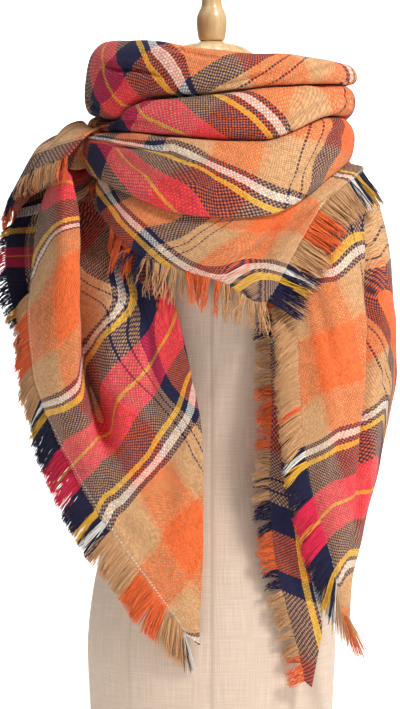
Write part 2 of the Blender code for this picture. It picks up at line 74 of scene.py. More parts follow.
def curve_through(points, places, closed=False):
    """Points at `places`, counted in rows, on the Catmull-Rom curve through the rows of points:
    half of (2b + (c - a)t + (2a - 5b + 4c - d)t^2 + (3b - a - 3c + d)t^3)."""
    points = np.asarray(points, float)
    places = np.asarray(places, float)
    last = len(points) if closed else len(points) - 1
    start = np.clip(np.floor(places).astype(int), 0, last - 1)
    t = (places - start).reshape((-1,) + (1,) * (points.ndim - 1))
    if closed:
        a, b, c, d = [points[(start + shift) % len(points)] for shift in (-1, 0, 1, 2)]
    else:
        ends = np.concatenate([2 * points[:1] - points[1:2], points, 2 * points[-1:] - points[-2:-1]])
        a, b, c, d = [ends[start + shift] for shift in (0, 1, 2, 3)]
    return 0.5 * (2 * b + (c - a) * t + (2 * a - 5 * b + 4 * c - d) * t ** 2
                  + (3 * b - a - 3 * c + d) * t ** 3)


def loft(lines, places):
    """A grid of points: each of its rows is the curve across all the lines, read at the places."""
    return curve_through(np.stack(lines), places).swapaxes(0, 1)


def mesh_of(name, points, loops, starts):
    """An object with a smooth mesh of millimetre points: the corners of all its faces one after
    another, and where in that list each face starts."""
    mesh = bpy.data.meshes.new(name)
    mesh.vertices.add(len(points))
    mesh.vertices.foreach_set("co", points.ravel() * 0.001)
    mesh.loops.add(len(loops))
    mesh.loops.foreach_set("vertex_index", loops)
    mesh.polygons.add(len(starts))
    mesh.polygons.foreach_set("loop_start", starts)
    mesh.update(calc_edges=True)
    mesh.shade_smooth()
    made = bpy.data.objects.new(name, mesh)
    bpy.context.scene.collection.objects.link(made)
    return made


def skin(name, grid, across_closed=False, down_closed=False, flip=False, coords=None, caps=False):
    """A mesh of four-sided faces over a grid of millimetre points, row by row; coords, one row and
    one column longer where the grid closes, gives each corner its place on the cloth."""
    rows, columns = grid.shape[:2]
    row, column = np.meshgrid(np.arange(rows if down_closed else rows - 1),
                              np.arange(columns if across_closed else columns - 1), indexing="ij")
    row, column = row.ravel(), column.ravel()
    corners = [(row, column), (row, column + 1), (row + 1, column + 1), (row + 1, column)]
    if flip:
        corners = corners[::-1]
    faces = np.stack([(r % rows) * columns + c % columns for r, c in corners], axis=1)
    loops, starts = faces.ravel(), np.arange(0, faces.size, 4)
    if caps:
        first, last = np.arange(columns), np.arange(columns) + (rows - 1) * columns
        loops = np.concatenate([loops, first[::-1], last])
        starts = np.append(starts, [faces.size, faces.size + columns])
    made = mesh_of(name, grid.reshape(-1, 3), loops, starts)
    if coords is not None:
        values = np.zeros((len(loops), 2))
        values[:faces.size] = np.stack([coords[r, c] for r, c in corners], axis=1).reshape(-1, 2)
        made.data.uv_layers.new(name="cloth").uv.foreach_set("vector", (values * 0.001).ravel())
    return made


def stand_for(piece, node, finish):
    """Give a piece its finish, hang it from the root, and hide the node's solid that it stands in for.
    """
    piece.data.materials.append(finish)
    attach(piece, "root")
    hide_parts(node)
    return piece


class Nodes:
    """A short way to wire a material: each call adds a node, links or sets its inputs, and gives
    back one of its outputs, the first if none is named."""

    def __init__(self, name):
        self.material = bpy.data.materials.new(name)
        self.material.use_nodes = True
        self.tree = self.material.node_tree
        self.shader = self.tree.nodes["Principled BSDF"]

    def fill(self, node, inputs):
        for key, value in inputs.items():
            if isinstance(value, bpy.types.NodeSocket):
                self.tree.links.new(value, node.inputs[key])
            else:
                node.inputs[key].default_value = value

    def add(self, kind, inputs, out=0, **settings):
        node = self.tree.nodes.new("ShaderNode" + kind)
        for key, value in settings.items():
            setattr(node, key, value)
        self.fill(node, inputs)
        return node.outputs[out]

    def math(self, operation, a, b=0.0, c=0.0):
        return self.add("Math", {0: a, 1: b, 2: c}, operation=operation)

    def part(self, value, length):
        """The share of a length that is left over after its whole repeats."""
        return self.math("FRACT", self.math("DIVIDE", value, length))

    def mix(self, share, a, b, blend="MIX"):
        return self.add("Mix", {0: share, 6: a, 7: b}, out=2, data_type="RGBA", blend_type=blend)

    def lit(self, tone, light):
        """The tone times a level of light."""
        return self.mix(1.0, tone, self.add("CombineColor", {0: light, 1: light, 2: light}), "MULTIPLY")

    def noise(self, place, scale, detail, stretch=None, **inputs):
        if stretch:
            place = self.add("Mapping", {"Vector": place, "Scale": stretch})
        return self.add("TexNoise", {"Vector": place, "Scale": scale, "Detail": detail, **inputs})

    def ramp(self, place, stops, stepped=False):
        """A colour ramp; a stop's level of grey may stand for its colour."""
        node = self.tree.nodes.new("ShaderNodeValToRGB")
        self.tree.links.new(place, node.inputs[0])
        node.color_ramp.interpolation = "CONSTANT" if stepped else "LINEAR"
        for at, (where, colour) in enumerate(stops):
            stop = node.color_ramp.elements[at] if at < 2 else node.color_ramp.elements.new(where)
            stop.position = where
            stop.color = (*np.broadcast_to(colour, 3), 1.0)
        return node.outputs[0]

    def finish(self, colour, roughness, height, distance, **sockets):
        """Wire the surface: its colour, roughness and relief, and constants by their sockets."""
        bump = self.add("Bump", {"Height": height, "Distance": distance, "Strength": 0.7})
        self.fill(self.shader, {"Base Color": colour, "Roughness": roughness, "Normal": bump})
        self.fill(self.shader, {key.replace("_", " "): value for key, value in sockets.items()})
        return self.material


def linen_finish():
    """Plain-woven linen: fine upright and level threads of uneven thickness, soft slubs, and a
    darker line in each seam."""
    nodes = Nodes("natural linen")
    place = nodes.add("UVMap", {}, uv_map="cloth")
    fine = [nodes.noise(place, 1.0, 2.0, stretch)
            for stretch in ((900.0, 22.0, 1.0), (22.0, 900.0, 1.0))]
    threads = nodes.math("MULTIPLY", nodes.math("ADD", *fine), 0.5)
    tone = nodes.ramp(threads, ((0.38, (0.58, 0.44, 0.335)), (0.62, (0.73, 0.575, 0.455))))
    blotch = nodes.math("MULTIPLY", nodes.noise(place, 9.0, 3.0), 0.25)
    tone = nodes.mix(blotch, tone, (0.62, 0.47, 0.37, 1.0))
    seam = nodes.add("Attribute", {}, out=2, attribute_name="seam")
    tone = nodes.mix(nodes.math("MULTIPLY", seam, 0.45), tone, (0.36, 0.28, 0.21, 1.0))
    return nodes.finish(tone, 0.88, threads, 0.0006, Sheen_Weight=0.15, Sheen_Roughness=0.5)


levels = curve_through(TORSO_LEVELS, np.linspace(0, len(TORSO_LEVELS) - 1, 170))
levels[0, 0] += BOARD_GAP
turn = np.linspace(0, math.tau, 240, endpoint=False)
depth = np.where(np.cos(turn) > 0, levels[:, 2:3], levels[:, 3:4])
torso = np.stack([levels[:, 1:2] * np.sin(turn), -depth * np.cos(turn),
                  np.repeat(levels[:, :1], len(turn), axis=1)], axis=2)
from_seam = np.min([np.abs((np.degrees(turn) - seam + 180) % 360 - 180)
                    for seam in PANEL_SEAMS], axis=0)
from_seam = np.radians(from_seam) * levels[:, 1:2]
groove = np.exp(-(from_seam / SEAM_HALF_WIDTH) ** 2)
torso[..., :2] *= (1 - SEAM_DEPTH * groove / levels[:, 1:2])[..., None]
around = np.linspace(0, math.tau, len(turn) + 1) * MEAN_RADIUS
linen_places = np.stack(np.broadcast_arrays(around, levels[:, :1]), axis=2)
form_torso = skin("torso_linen", torso, across_closed=True, coords=linen_places, caps=True)
seam_line = form_torso.data.attributes.new("seam", "FLOAT", "POINT")
seam_line.data.foreach_set("value", groove.ravel().astype(np.float32))
stand_for(form_torso, "form_torso", linen_finish())


# Wood of the form. The cap that closes the neck and the finial are turned from pale beech and
# varnished; the board under the torso is sawn from the same wood. They are screwed together.
CAP_PROFILE = ((52, 904.6), (54, 908), (54, 915), (50, 922), (38, 929), (22, 933), (15, 934.4))
FINIAL_PROFILE = (
    (14, 934.9), (16.6, 937), (18.4, 946), (19.6, 958), (18.8, 967), (16.0, 974),
    (13.4, 980), (12.6, 990), (13.0, 1000), (14.6, 1009), (15.2, 1017), (13.2, 1025), (7.5, 1030.5),
)
BOARD_PROFILE = ((0.985, 0.0), (1.0, 1.2), (1.0, 12.8), (0.985, 14.0))


def turned(name, profile, steps, sides=96, half_width=1.0, half_depth=1.0):
    """A turned piece: the curve through its profile of radius and height, swept round the form's
    axis, and closed by a flat face at its foot and its top."""
    line = curve_through(profile, np.linspace(0, len(profile) - 1, steps))
    angle = np.linspace(0, math.tau, sides, endpoint=False)
    grid = np.stack([line[:, :1] * np.cos(angle) * half_width, line[:, :1] * np.sin(angle) * half_depth,
                     np.repeat(line[:, 1:], sides, axis=1)], axis=2)
    return skin(name, grid, across_closed=True, caps=True)


def wood_finish():
    """Varnished beech: grain drawn out along the axis, short darker rays, and a clear coat."""
    nodes = Nodes("varnished beech")
    place = nodes.add("TexCoord", {}, out=3)
    grain = nodes.noise(place, 1.0, 5.0, (90.0, 90.0, 7.0), Distortion=0.6)
    rays = nodes.noise(place, 1.0, 1.0, (900.0, 900.0, 120.0))
    tone = nodes.ramp(grain, ((0.32, (0.58, 0.36, 0.16)), (0.52, (0.73, 0.50, 0.25)),
                              (0.7, (0.82, 0.62, 0.36))))
    tone = nodes.mix(nodes.ramp(rays, ((0.6, 0.0), (0.75, 0.35))), tone, (0.42, 0.25, 0.11, 1.0))
    rough = nodes.math("MULTIPLY_ADD", grain, 0.2, 0.22)
    return nodes.finish(tone, rough, grain, 0.0002, Coat_Weight=0.5, Coat_Roughness=0.12)


beech = wood_finish()
neck_cap = turned("neck_cap_wood", CAP_PROFILE, 40)
finial = turned("finial_wood", FINIAL_PROFILE, 90)
board = turned("board_wood", BOARD_PROFILE, 10, half_width=150, half_depth=107)
for piece, node in ((neck_cap, "form_neck_cap"), (finial, "form_finial"), (board, "form_base")):
    stand_for(piece, node, beech)


# Top roll. The last turn of the folded square round the neck: a soft tube of cloth that goes up
# over its rim and down inside to the foot of the neck. It is held by its own weight alone. The
# cloth is one yarn-dyed check in a coarse plain weave, brushed on its face.
WIDE_YARN = 2.5
CROSS_YARN = 2.1
YARN_COLOURS = {
    "tan": (0.660, 0.360, 0.170),
    "orange": (0.860, 0.160, 0.042),
    "pink": (0.780, 0.028, 0.085),
    "gold": (0.760, 0.340, 0.045),
    "yellow": (0.820, 0.450, 0.050),
    "navy": (0.020, 0.019, 0.055),
    "white": (0.860, 0.820, 0.750),
}
# Stripes of each repeat: where each ends, in millimetres, and its yarn
WIDE_STRIPES = (
    (33, "navy"), (43, "yellow"), (50, "navy"), (59, "white"), (66, "navy"), (132, "tan"),
    (204, "orange"), (270, "tan"), (277, "navy"), (286, "white"), (293, "navy"), (303, "yellow"),
    (341, "navy"), (375, "pink"), (380, "gold"), (413, "pink"), (418, "navy"),
)
CROSS_STRIPES = (
    (60, "tan"), (120, "orange"), (180, "tan"), (208, "navy"), (268, "orange"), (296, "navy"),
)
WIDE_REPEAT, CROSS_REPEAT = WIDE_STRIPES[-1][0], CROSS_STRIPES[-1][0]
CROSS_LINES = (154.5, 168.5)
CROSS_LINE_REACH = 1.3
LOCK_YARN = 4.5
SOFT_EDGE = 11
# The bright stripes have a thicker yarn, which hides this share of the yarn under it
THICK_YARNS = (
    (0, 0.0), (33, 0.4), (43, 0.0), (50, 0.2), (59, 0.0), (277, 0.2), (286, 0.0), (293, 0.4),
    (303, 0.0), (341, 0.3), (375, 0.4), (380, 0.3), (413, 0.0),
)
# The winding at each direction from the front: heights of its rim, two creases and foot, and how
# far the top, middle and low rolls lie in from their plans
COWL = (
    (-180, 914, 856, 808, 784, 0, 2, 8),
    (-150, 918, 852, 811, 785, 0, 4, 10),
    (-120, 923, 846, 820, 784, 0, 8, 14),
    (-98, 928, 839, 817, 778, 2, 11, 12),
    (-75, 931, 832, 815, 770, 2, 13, 6),
    (-60, 930, 830, 815, 759, 0, 12, 0),
    (-50, 929, 834, 815, 750, 0, 12, 0),
    (-42, 929, 845, 814, 741, 0, 3, 0),
    (-34, 927, 854, 812, 733, 2, 1, 0),
    (-20, 922, 857, 809, 718, 0, 0, 0),
    (-6, 916, 859, 805, 711, 0, -2, -6),
    (8, 912, 864, 803, 709, 0, -4, -8),
    (22, 911, 869, 804, 713, 2, -4, -6),
    (32, 911, 871, 812, 724, 1, -2, -3),
    (42, 910, 873, 824, 739, 0, 0, 0),
    (54, 908, 874, 833, 757, 0, 2, 3),
    (70, 906, 875, 836, 774, 0, 0, 3),
    (90, 905, 876, 834, 786, 0, 0, 4),
    (110, 907, 873, 826, 794, 0, 2, 10),
    (130, 909, 866, 818, 791, 0, 2, 12),
    (155, 912, 860, 811, 786, 0, 2, 8),
)
RIM, CREASE_ONE, CREASE_TWO, LOW_FOOT, TOP_IN, MID_IN, LOW_IN = range(7)
CREASE_GAP = 1.1
CLOTH = 0.0022
PLAN_TOP = (10, -20, 174, 132)
NECK_FOOT = (0, 0, 61.6, 57.8)
NECK_FOOT_HEIGHT = 848
# The section of the roll: how far in each point lies, and its share of the way up to the rim
TOP_SECTION = (
    (24, 0.00), (6, 0.07), (0, 0.26), (0, 0.52), (5, 0.78), (14, 0.93), (24, 1.0), (35, 0.96),
)
# Place on the cloth by direction: across the wide stripes and across the cross stripes at the
# rim, then both at the crease under the roll
TOP_CHECK = (
    (-75, 396, 345, 450, 290), (-60, 356, 326, 435, 248), (-45, 301, 297, 395, 250),
    (-30, 270, 278, 330, 228), (-15, 262, 256, 290, 182), (0, 218, 226, 250, 162),
    (15, 175, 204, 212, 147), (30, 135, 183, 170, 128), (45, 98, 160, 128, 108),
    (60, 68, 135, 86, 88), (75, 48, 115, 50, 70), (90, 5, 95, 20, 50), (285, -440, -247, -386, -302),
)
# Soft creases: direction and height share where each starts and ends, depth, half width
TOP_FOLDS = (
    (-62, 0.30, -18, 0.62, 5.0, 7.0), (-30, 0.10, 6, 0.34, 3.5, 8.0),
    (-8, 0.75, 34, 0.50, 4.0, 8.0), (28, 0.70, 62, 0.30, 4.5, 8.0), (48, 0.86, 84, 0.66, 4.0, 6.5),
    (-84, 0.62, -58, 0.80, 4.5, 7.0), (100, 0.3, 140, 0.6, 4.5, 9.0),
    (150, 0.7, 190, 0.45, 4.5, 9.0), (200, 0.3, 240, 0.55, 5.0, 9.0),
)


def cowl_rows(directions):
    """The cowl's table read at any direction, on the curve between its rows."""
    table = np.asarray(COWL, float)
    turned_to = (np.asarray(directions, float) - table[0, 0]) % 360 + table[0, 0]
    angles = np.append(table[:, 0], table[0, 0] + 360)
    row = np.interp(turned_to, angles, np.arange(len(angles)))
    return curve_through(table[:, 1:], row, closed=True).T


def plan_points(plan, directions, inset, height):
    """Points of the winding's oval plan: middle plus half width times the sine and less half depth
    times the cosine of the direction, moved in along that direction, at a height."""
    mid_x, mid_y, half_width, half_depth = plan
    out_x, out_y = np.sin(np.radians(directions)), -np.cos(np.radians(directions))
    place = mid_x + half_width * out_x - out_x * inset, mid_y + half_depth * out_y - out_y * inset
    return np.stack(np.broadcast_arrays(*place, height), axis=-1)


def unit(vectors):
    """The same directions with a length of 1."""
    return vectors / np.maximum(np.linalg.norm(vectors, axis=-1, keepdims=True), 1e-9)


def grid_normals(grid):
    """Unit normals of a grid: the run across it crossed with the run down it."""
    return unit(np.cross(np.gradient(grid, axis=1), np.gradient(grid, axis=0)))


def run_along(line):
    """Length along a line of points from its first one."""
    return np.concatenate([[0], np.cumsum(np.linalg.norm(np.diff(line, axis=0), axis=1))])


def run_across(grid):
    """Length along each row from its first column."""
    steps = np.linalg.norm(np.diff(grid, axis=1), axis=2)
    return np.concatenate([np.zeros((len(grid), 1)), np.cumsum(steps, axis=1)], axis=1)


def creased(grid, along, down, folds, ripple, seed, fade=1.0, side=1, period=None):
    """The cloth with the listed creases: each is a trough of Gaussian section along the line
    between its two ends, as long as the line and faded out past them. A few shallow waves of
    unlike lengths are added, so that no stretch lies perfectly smooth. All of it is less where
    the cloth's fade is below 1."""
    moved, wave = np.zeros((2, *grid.shape[:2]))
    for first, start, last, end, deep, half in folds:
        middle = 0.5 * (first + last)
        here = along if period is None else (along - middle + period / 2) % period - period / 2 + middle
        share = np.clip((here - first) / (last - first), -0.3, 1.3)
        run = np.abs(down - start - (end - start) * share) * run_across(grid)[:, -1:]
        near = np.clip(1.15 - np.abs(share - 0.5) * 1.9, 0, 1)
        near = near * near * (3 - 2 * near)
        ridge = 0.35 * np.exp(-((run - 2.1 * half) / half) ** 2)
        moved -= deep * near * (np.exp(-(run / half) ** 2) - ridge)
    rng = np.random.default_rng(seed)
    for _ in range(7):
        pull = unit(rng.normal(0, 1, 3))
        wave += np.sin(grid @ pull * math.tau / rng.uniform(34, 95) + rng.uniform(0, math.tau))
    return grid + side * grid_normals(grid) * ((moved + ripple * wave / 2.6) * fade)[..., None]


def check_from(table, directions, share, steps=(0, 1)):
    """Places on the cloth for a roll: the table's pairs read at each direction, and mixed in step
    with the share of the way from its upper to its lower edge."""
    table = np.asarray(table, float)
    pairs = np.stack([np.interp(directions, table[:, 0], column) for column in table[:, 1:].T], axis=1)
    pairs = pairs.reshape(len(directions), -1, 2)
    made = pairs[:, :1] + np.zeros(share.shape + (1,))
    for at, (first, last) in enumerate(zip(steps[:-1], steps[1:])):
        part = share if len(steps) == 2 else np.clip(share, first, last)
        change = pairs[:, at + 1:at + 2] - pairs[:, at:at + 1]
        made = made + change * ((part - first) / (last - first))[..., None]
    return made


def check_round(table, share, repeats):
    """The same for a roll that closes round the neck: the table starts at the left side, and the
    places have run on by whole repeats of both stripes when they are back there."""
    start, shift = table[0][0], np.multiply(repeats, (WIDE_REPEAT, CROSS_REPEAT))
    made = check_from(table, np.where(round_neck < start, round_neck + 360, round_neck), share)
    made[round_neck < start] += shift
    return np.concatenate([made, made[:1] - shift])


def stripes(nodes, place, table, first, last):
    """Colour of the yarn at a place across the stripes, in metres, repeating with the table. The
    band from first to last is orange that fades into the tan beside it."""
    length = table[-1][0]
    share = nodes.part(place, length * 0.001)
    starts = [0.0] + [end / length for end, _ in table[:-1]]
    sharp = nodes.ramp(share, [(start, YARN_COLOURS[name]) for start, (_, name) in zip(starts, table)],
                       stepped=True)
    fades = ((first, -SOFT_EDGE, 0.0), (first, SOFT_EDGE, 1.0),
             (last, -SOFT_EDGE, 1.0), (last, SOFT_EDGE, 0.0))
    band = nodes.ramp(share, [((edge + reach) / length, level) for edge, reach, level in fades])
    return nodes.mix(band, sharp, (*YARN_COLOURS["orange"], 1.0))


def check_finish():
    """The woven check. A wide-stripe yarn is on top wherever the sum of the two yarn counts is
    even, which is a plain weave; otherwise a cross-stripe yarn is. Each yarn takes its stripe's
    colour at its own middle and is domed both ways over the yarn that it crosses; that dome is
    painted into its colour as shade, lightest at its crown and dark in the gap round it. Each yarn
    is lighter or darker than the next, and wanders a little from its line. The darker yarn of each
    crossing shows through, a thick bright yarn hides more, single navy yarns cross the tan, and
    one pale yarn locks the fringe. The brushed nap blurs and lifts it all."""
    nodes = Nodes("brushed plain check")
    place = nodes.add("UVMap", {}, uv_map="cloth")
    wander = nodes.add("TexNoise", {"Vector": place, "Scale": 160.0, "Detail": 2.0}, out=1)
    wander = nodes.add("VectorMath", {0: wander, 1: (0.5, 0.5, 0.5)}, operation="SUBTRACT")
    wander = nodes.add("VectorMath", {0: wander, 3: 0.0022}, operation="SCALE")
    moved = nodes.add("VectorMath", {0: place, 1: wander}, operation="ADD")
    axes = nodes.add("SeparateXYZ", {0: moved}, slice(2))
    count, middle, square = [], [], []
    for axis, yarn in zip(axes, (WIDE_YARN * 0.001, CROSS_YARN * 0.001)):
        turns = nodes.math("DIVIDE", axis, yarn)
        count.append(nodes.math("FLOOR", turns))
        middle.append(nodes.math("MULTIPLY", nodes.math("ADD", count[-1], 0.5), yarn))
        off = nodes.math("MULTIPLY_ADD", nodes.math("FRACT", turns), 2.0, -1.0)
        square.append(nodes.math("MULTIPLY", off, off))
    wide_yarn = stripes(nodes, middle[0], WIDE_STRIPES, 132, 204)
    cross_yarn = stripes(nodes, middle[1], CROSS_STRIPES, 60, 120)
    folded = nodes.part(middle[1], CROSS_REPEAT * 0.001)
    navy_lines = [(folded, line, CROSS_REPEAT, "navy") for line in CROSS_LINES]
    for value, line, length, name in navy_lines + [(middle[1], LOCK_YARN, 1000, "white")]:
        near = nodes.math("COMPARE", value, line / length, 0.5 * CROSS_YARN / length)
        cross_yarn = nodes.mix(near, cross_yarn, (*YARN_COLOURS[name], 1.0))
    turn_about = nodes.math("FLOORED_MODULO", nodes.math("ADD", *count), 2.0)
    ridge = nodes.math("SUBTRACT", 1.0, nodes.math("MULTIPLY", nodes.math("ADD", *square), 0.5))
    tone = nodes.mix(nodes.math("LESS_THAN", turn_about, 0.5), cross_yarn, wide_yarn)
    tone = nodes.mix(0.12, tone, nodes.mix(0.5, cross_yarn, wide_yarn))
    tone = nodes.mix(0.3, tone, nodes.mix(1.0, cross_yarn, wide_yarn, "DARKEN"))
    thick = nodes.ramp(nodes.part(middle[0], WIDE_REPEAT * 0.001),
                       [(at / WIDE_REPEAT, hidden) for at, hidden in THICK_YARNS], stepped=True)
    tone = nodes.mix(thick, tone, wide_yarn)
    spun = nodes.add("CombineXYZ", {0: count[0], 1: count[1]})
    spun = nodes.add("TexWhiteNoise", {0: spun}, noise_dimensions="2D")
    # Painted shade: the yarn's dome darkens its colour from its crown out to the gap round it; the
    # per-yarn and mottled changes added next are the yarns' own tone.
    light = nodes.math("MULTIPLY_ADD", ridge, 0.75, 0.16)
    light = nodes.math("MULTIPLY_ADD", spun, 0.34, light)
    light = nodes.math("MULTIPLY_ADD", nodes.noise(place, 55.0, 3.0), 0.30, light)
    height = nodes.math("MULTIPLY_ADD", nodes.noise(place, 1500.0, 2.0), 0.6, ridge)
    return nodes.finish(nodes.lit(tone, light), 0.92, height, 0.0012, Sheen_Weight=0.08,
                        Sheen_Roughness=0.45, Specular_IOR_Level=0.15)


def lay_cloth(piece, node):
    """Give a stretch of cloth its thickness, its finish, and its place among the parts."""
    wall = piece.modifiers.new("cloth", "SOLIDIFY")
    wall.thickness = CLOTH
    wall.offset = -1.0
    wall.use_even_offset = False
    stand_for(piece, node, check_cloth)


check_cloth = check_finish()
round_neck = np.linspace(-184, 176, 300, endpoint=False)
rows = cowl_rows(round_neck)
crease = rows[CREASE_ONE] + CREASE_GAP / 2
rise = rows[RIM] - crease
section = [plan_points(PLAN_TOP, round_neck, rows[TOP_IN] + inward, crease + rise * share)
           for inward, share in TOP_SECTION]
over_rim = section[-1]
neck_foot = plan_points(NECK_FOOT, round_neck, 0, NECK_FOOT_HEIGHT)
section += [over_rim + (neck_foot - over_rim) * (inward, inward, fall)
            for inward, fall in ((0.28, 0.25), (0.66, 0.62), (1.0, 1.0))]
top_grid = loft(section, np.linspace(0, 10, 76))[:, ::-1]
run = run_across(top_grid)
rim_run = np.take_along_axis(run, np.argmax(top_grid[..., 2], axis=1)[:, None], axis=1)
share = (run - rim_run) / (run[:, -1:] - rim_run)
fade = np.clip(share * 3 + 0.6, 0, 1) * np.clip((1 - share) * 7, 0, 1)
top_grid = creased(top_grid, round_neck[:, None], share, TOP_FOLDS, 0.8, 2, fade, period=360)
top_roll = skin("top_roll_cloth", top_grid, down_closed=True,
                coords=check_round(TOP_CHECK, share, (2, 2)))
lay_cloth(top_roll, "cowl_roll_top")


# Middle roll. The turn before it: a flatter tube, closed round the neck, that shows between the
# two creases and is held there by the turns above and below it.
PLAN_MID = (7, -20, 177, 138)
ROLL_FULLNESS = 0.62
MID_CHECK = (
    (-75, 446, -62, 468, -45), (-60, 427, -42, 448, -24), (-45, 394, -24, 434, -2),
    (-30, 342, -7, 408, 20), (-15, 325, 10, 392, 58), (0, 286, 38, 364, 98), (15, 258, 72, 326, 120),
    (30, 232, 112, 286, 136), (45, 203, 128, 240, 143), (60, 172, 140, 205, 152),
    (75, 150, 158, 180, 172), (90, 120, 200, 165, 212), (285, -390, 530, -368, 547),
)
MID_FOLDS = (
    (-60, 0.42, -22, 0.66, 4.0, 6.5), (-14, 0.20, 18, 0.42, 2.5, 7.0),
    (20, 0.78, 58, 0.46, 4.0, 6.0), (50, 0.25, 86, 0.55, 3.5, 6.5), (110, 0.4, 150, 0.6, 4.0, 7.0),
    (165, 0.6, 215, 0.4, 4.0, 7.0), (-84, 0.66, -62, 0.38, 3.0, 6.0),
)


def roll_surface(plan, directions, edges, tucks, steps):
    """A roll: at each direction half an oval section, whose height runs as a sine from its upper to
    its lower crease and whose depth is the cosine to the power of its fullness. Gives its grid,
    and the share of the way down it at each point."""
    upper, lower, inset = np.stack(edges)[..., None]
    angle = np.linspace(0.5 * math.pi, -0.5 * math.pi, steps + 1)
    reach = np.maximum(np.cos(angle), 0.0) ** ROLL_FULLNESS
    inward = inset + np.where(angle > 0, *tucks) * (1 - reach)
    height = 0.5 * (upper + lower) + 0.5 * (upper - lower) * np.sin(angle)
    grid = plan_points(plan, directions[:, None], inward, height)
    run = run_across(grid)
    return grid, run / run[:, -1:]


def still_edges(share):
    """The fade that keeps a roll's creases off its own two edges."""
    return np.clip(share * 7, 0, 1) * np.clip((1 - share) * 7, 0, 1)


edges = (rows[CREASE_ONE] - CREASE_GAP / 2, rows[CREASE_TWO] + CREASE_GAP / 2, rows[MID_IN])
mid_grid, share = roll_surface(PLAN_MID, round_neck, edges, (24, 22), 36)
# One repeat on, so that the pale yarn that locks the fringe doesn't cross the roll
mid_check = check_round(MID_CHECK, share, (2, -2)) + (0, CROSS_REPEAT)
mid_grid = creased(mid_grid, round_neck[:, None], share, MID_FOLDS, 0.7, 3, still_edges(share),
                   period=360)
mid_roll = skin("middle_roll_cloth", mid_grid, down_closed=True, coords=mid_check)
lay_cloth(mid_roll, "cowl_roll_mid")


# Low roll. The first turn round the front: it comes out from under the middle roll on the left
# and dives under the right shoulder, and the bib hangs out from below it.
PLAN_LOW = (5, -20, 181, 145)
# Place on the cloth at five steps down the roll: its crease, its shoulder, under the tuck below
# the shoulder, its belly and its foot
LOW_STEPS = (0, 0.29, 0.36, 0.62, 1)
LOW_CHECK = (
    (-80, 250, -150, 284, -130, 430, -60, 460, -60, 520, -60),
    (-60, 245, -130, 284, -112, 420, -25, 440, -20, 470, -10),
    (-50, 242, -105, 283, -95, 402, -8, 418, -2, 445, 10),
    (-40, 240, -72, 285, -62, 368, 8, 397, 20, 425, 35),
    (-28, 245, -28, 284, -16, 318, 30, 374, 48, 402, 62),
    (-18, 255, 8, 290, 12, 300, 42, 352, 68, 385, 88),
    (-7, 252, 38, 278, 42, 287, 55, 335, 80, 357, 98),
    (0, 241, 60, 266, 66, 275, 72, 310, 94, 340, 112),
    (15, 221, 107, 247, 115, 254, 117, 281, 124, 318, 135),
    (30, 197, 140, 223, 146, 230, 147, 256, 152, 296, 160),
    (45, 173, 150, 199, 163, 206, 168, 230, 187, 262, 205),
    (60, 157, 178, 181, 188, 187, 192, 207, 206, 240, 228),
    (75, 140, 215, 163, 226, 170, 230, 190, 245, 220, 262),
    (90, 118, 270, 140, 278, 147, 281, 166, 290, 195, 305),
    (105, 95, 320, 117, 332, 123, 335, 142, 342, 170, 352),
    (120, 72, 370, 93, 378, 99, 380, 117, 386, 145, 396),
)
LOW_FOLDS = (
    (-58, 0.16, -12, 0.30, 4.0, 6.5), (-10, 0.24, 24, 0.14, 3.0, 6.5),
    (-40, 0.55, -8, 0.86, 2.5, 10.0), (20, 0.84, 58, 0.42, 4.5, 9.0),
    (44, 0.30, 82, 0.62, 3.5, 8.0),
)

low_turn = np.linspace(-72, 120, 190)
rows = cowl_rows(low_turn)
edges = (rows[CREASE_TWO] - CREASE_GAP / 2, rows[LOW_FOOT], rows[LOW_IN])
low_grid, share = roll_surface(PLAN_LOW, low_turn, edges, (24, 9), 44)
low_check = check_from(LOW_CHECK, low_turn, share, LOW_STEPS) + (0, CROSS_REPEAT)
low_grid = creased(low_grid, low_turn[:, None], share, LOW_FOLDS, 0.8, 4, still_edges(share))
low_roll = skin("low_roll_cloth", low_grid, coords=low_check)
lay_cloth(low_roll, "cowl_roll_low")


# Bib. The corner of the square that hangs in front, with its frayed eyelash fringe: the crossing
# yarns are drawn out for about 50 mm and the rest are left loose, unknotted, in small tufts. Each
# line: its direction, the height of its hem, and how far its hem and its belly lie in.
BIB_LINES = (
    (-60, 720, 10, 7),
    (-51, 702, 7, 3),
    (-40, 676, 6, 0),
    (-27, 655, 7, -1),
    (-11, 642, 11, -2),
    (4, 626, 9, -3),
    (20, 606, 6, -2),
    (31, 657, 3, -2),
    (44, 713, 0, -3),
    (56, 742, -3, -4),
    (70, 757, -6, -6),
    (81, 766, -8, -8),
)
BIB_TUCK = 26
BIB_SEAT = 10.0
# The valley beside the right flap: direction, place across the bib, depth
BIB_VALLEY = (
    (-12, 3.2, 0), (2, 2.75, 8), (14, 2.1, 15), (24, 1.6, 17), (36, 1.7, 12), (46, 2.4, 5),
    (56, 3.0, 0),
)
BIB_VALLEY_HALF_WIDTH = 0.42
# Place on the cloth for each line of the bib: at the crease, at the belly and at the hem
BIB_CHECK = (
    ((50, 345), (33, 305), (12, 275)),
    ((62, 312), (36, 275), (12, 250)),
    ((82, 277), (46, 238), (10, 220)),
    ((97, 236), (60, 200), (28, 166)),
    ((118, 202), (86, 166), (50, 112)),
    ((150, 163), (86, 104), (50, 52)),
    ((165, 106), (68, 56), (4, 8)),
    ((175, 70), (125, 38), (75, 0)),
    ((215, 42), (205, 22), (195, 0)),
    ((262, 24), (255, 12), (245, 0)),
    ((310, 16), (302, 8), (290, 0)),
    ((345, 12), (335, 6), (320, 0)),
)
BIB_CORNER = 73
YARN_SPACING = 1.8
YARN_STEPS = 8
BIB_FOLDS = (
    (2.2, 0.50, 5.4, 0.30, 3.5, 9.0), (4.6, 0.86, 6.6, 0.48, 4.0, 8.0),
    (0.6, 0.72, 2.6, 0.52, 3.0, 8.0), (6.4, 0.30, 8.4, 0.16, 4.0, 8.0),
    (3.0, 0.74, 5.0, 0.66, 2.5, 8.0),
)


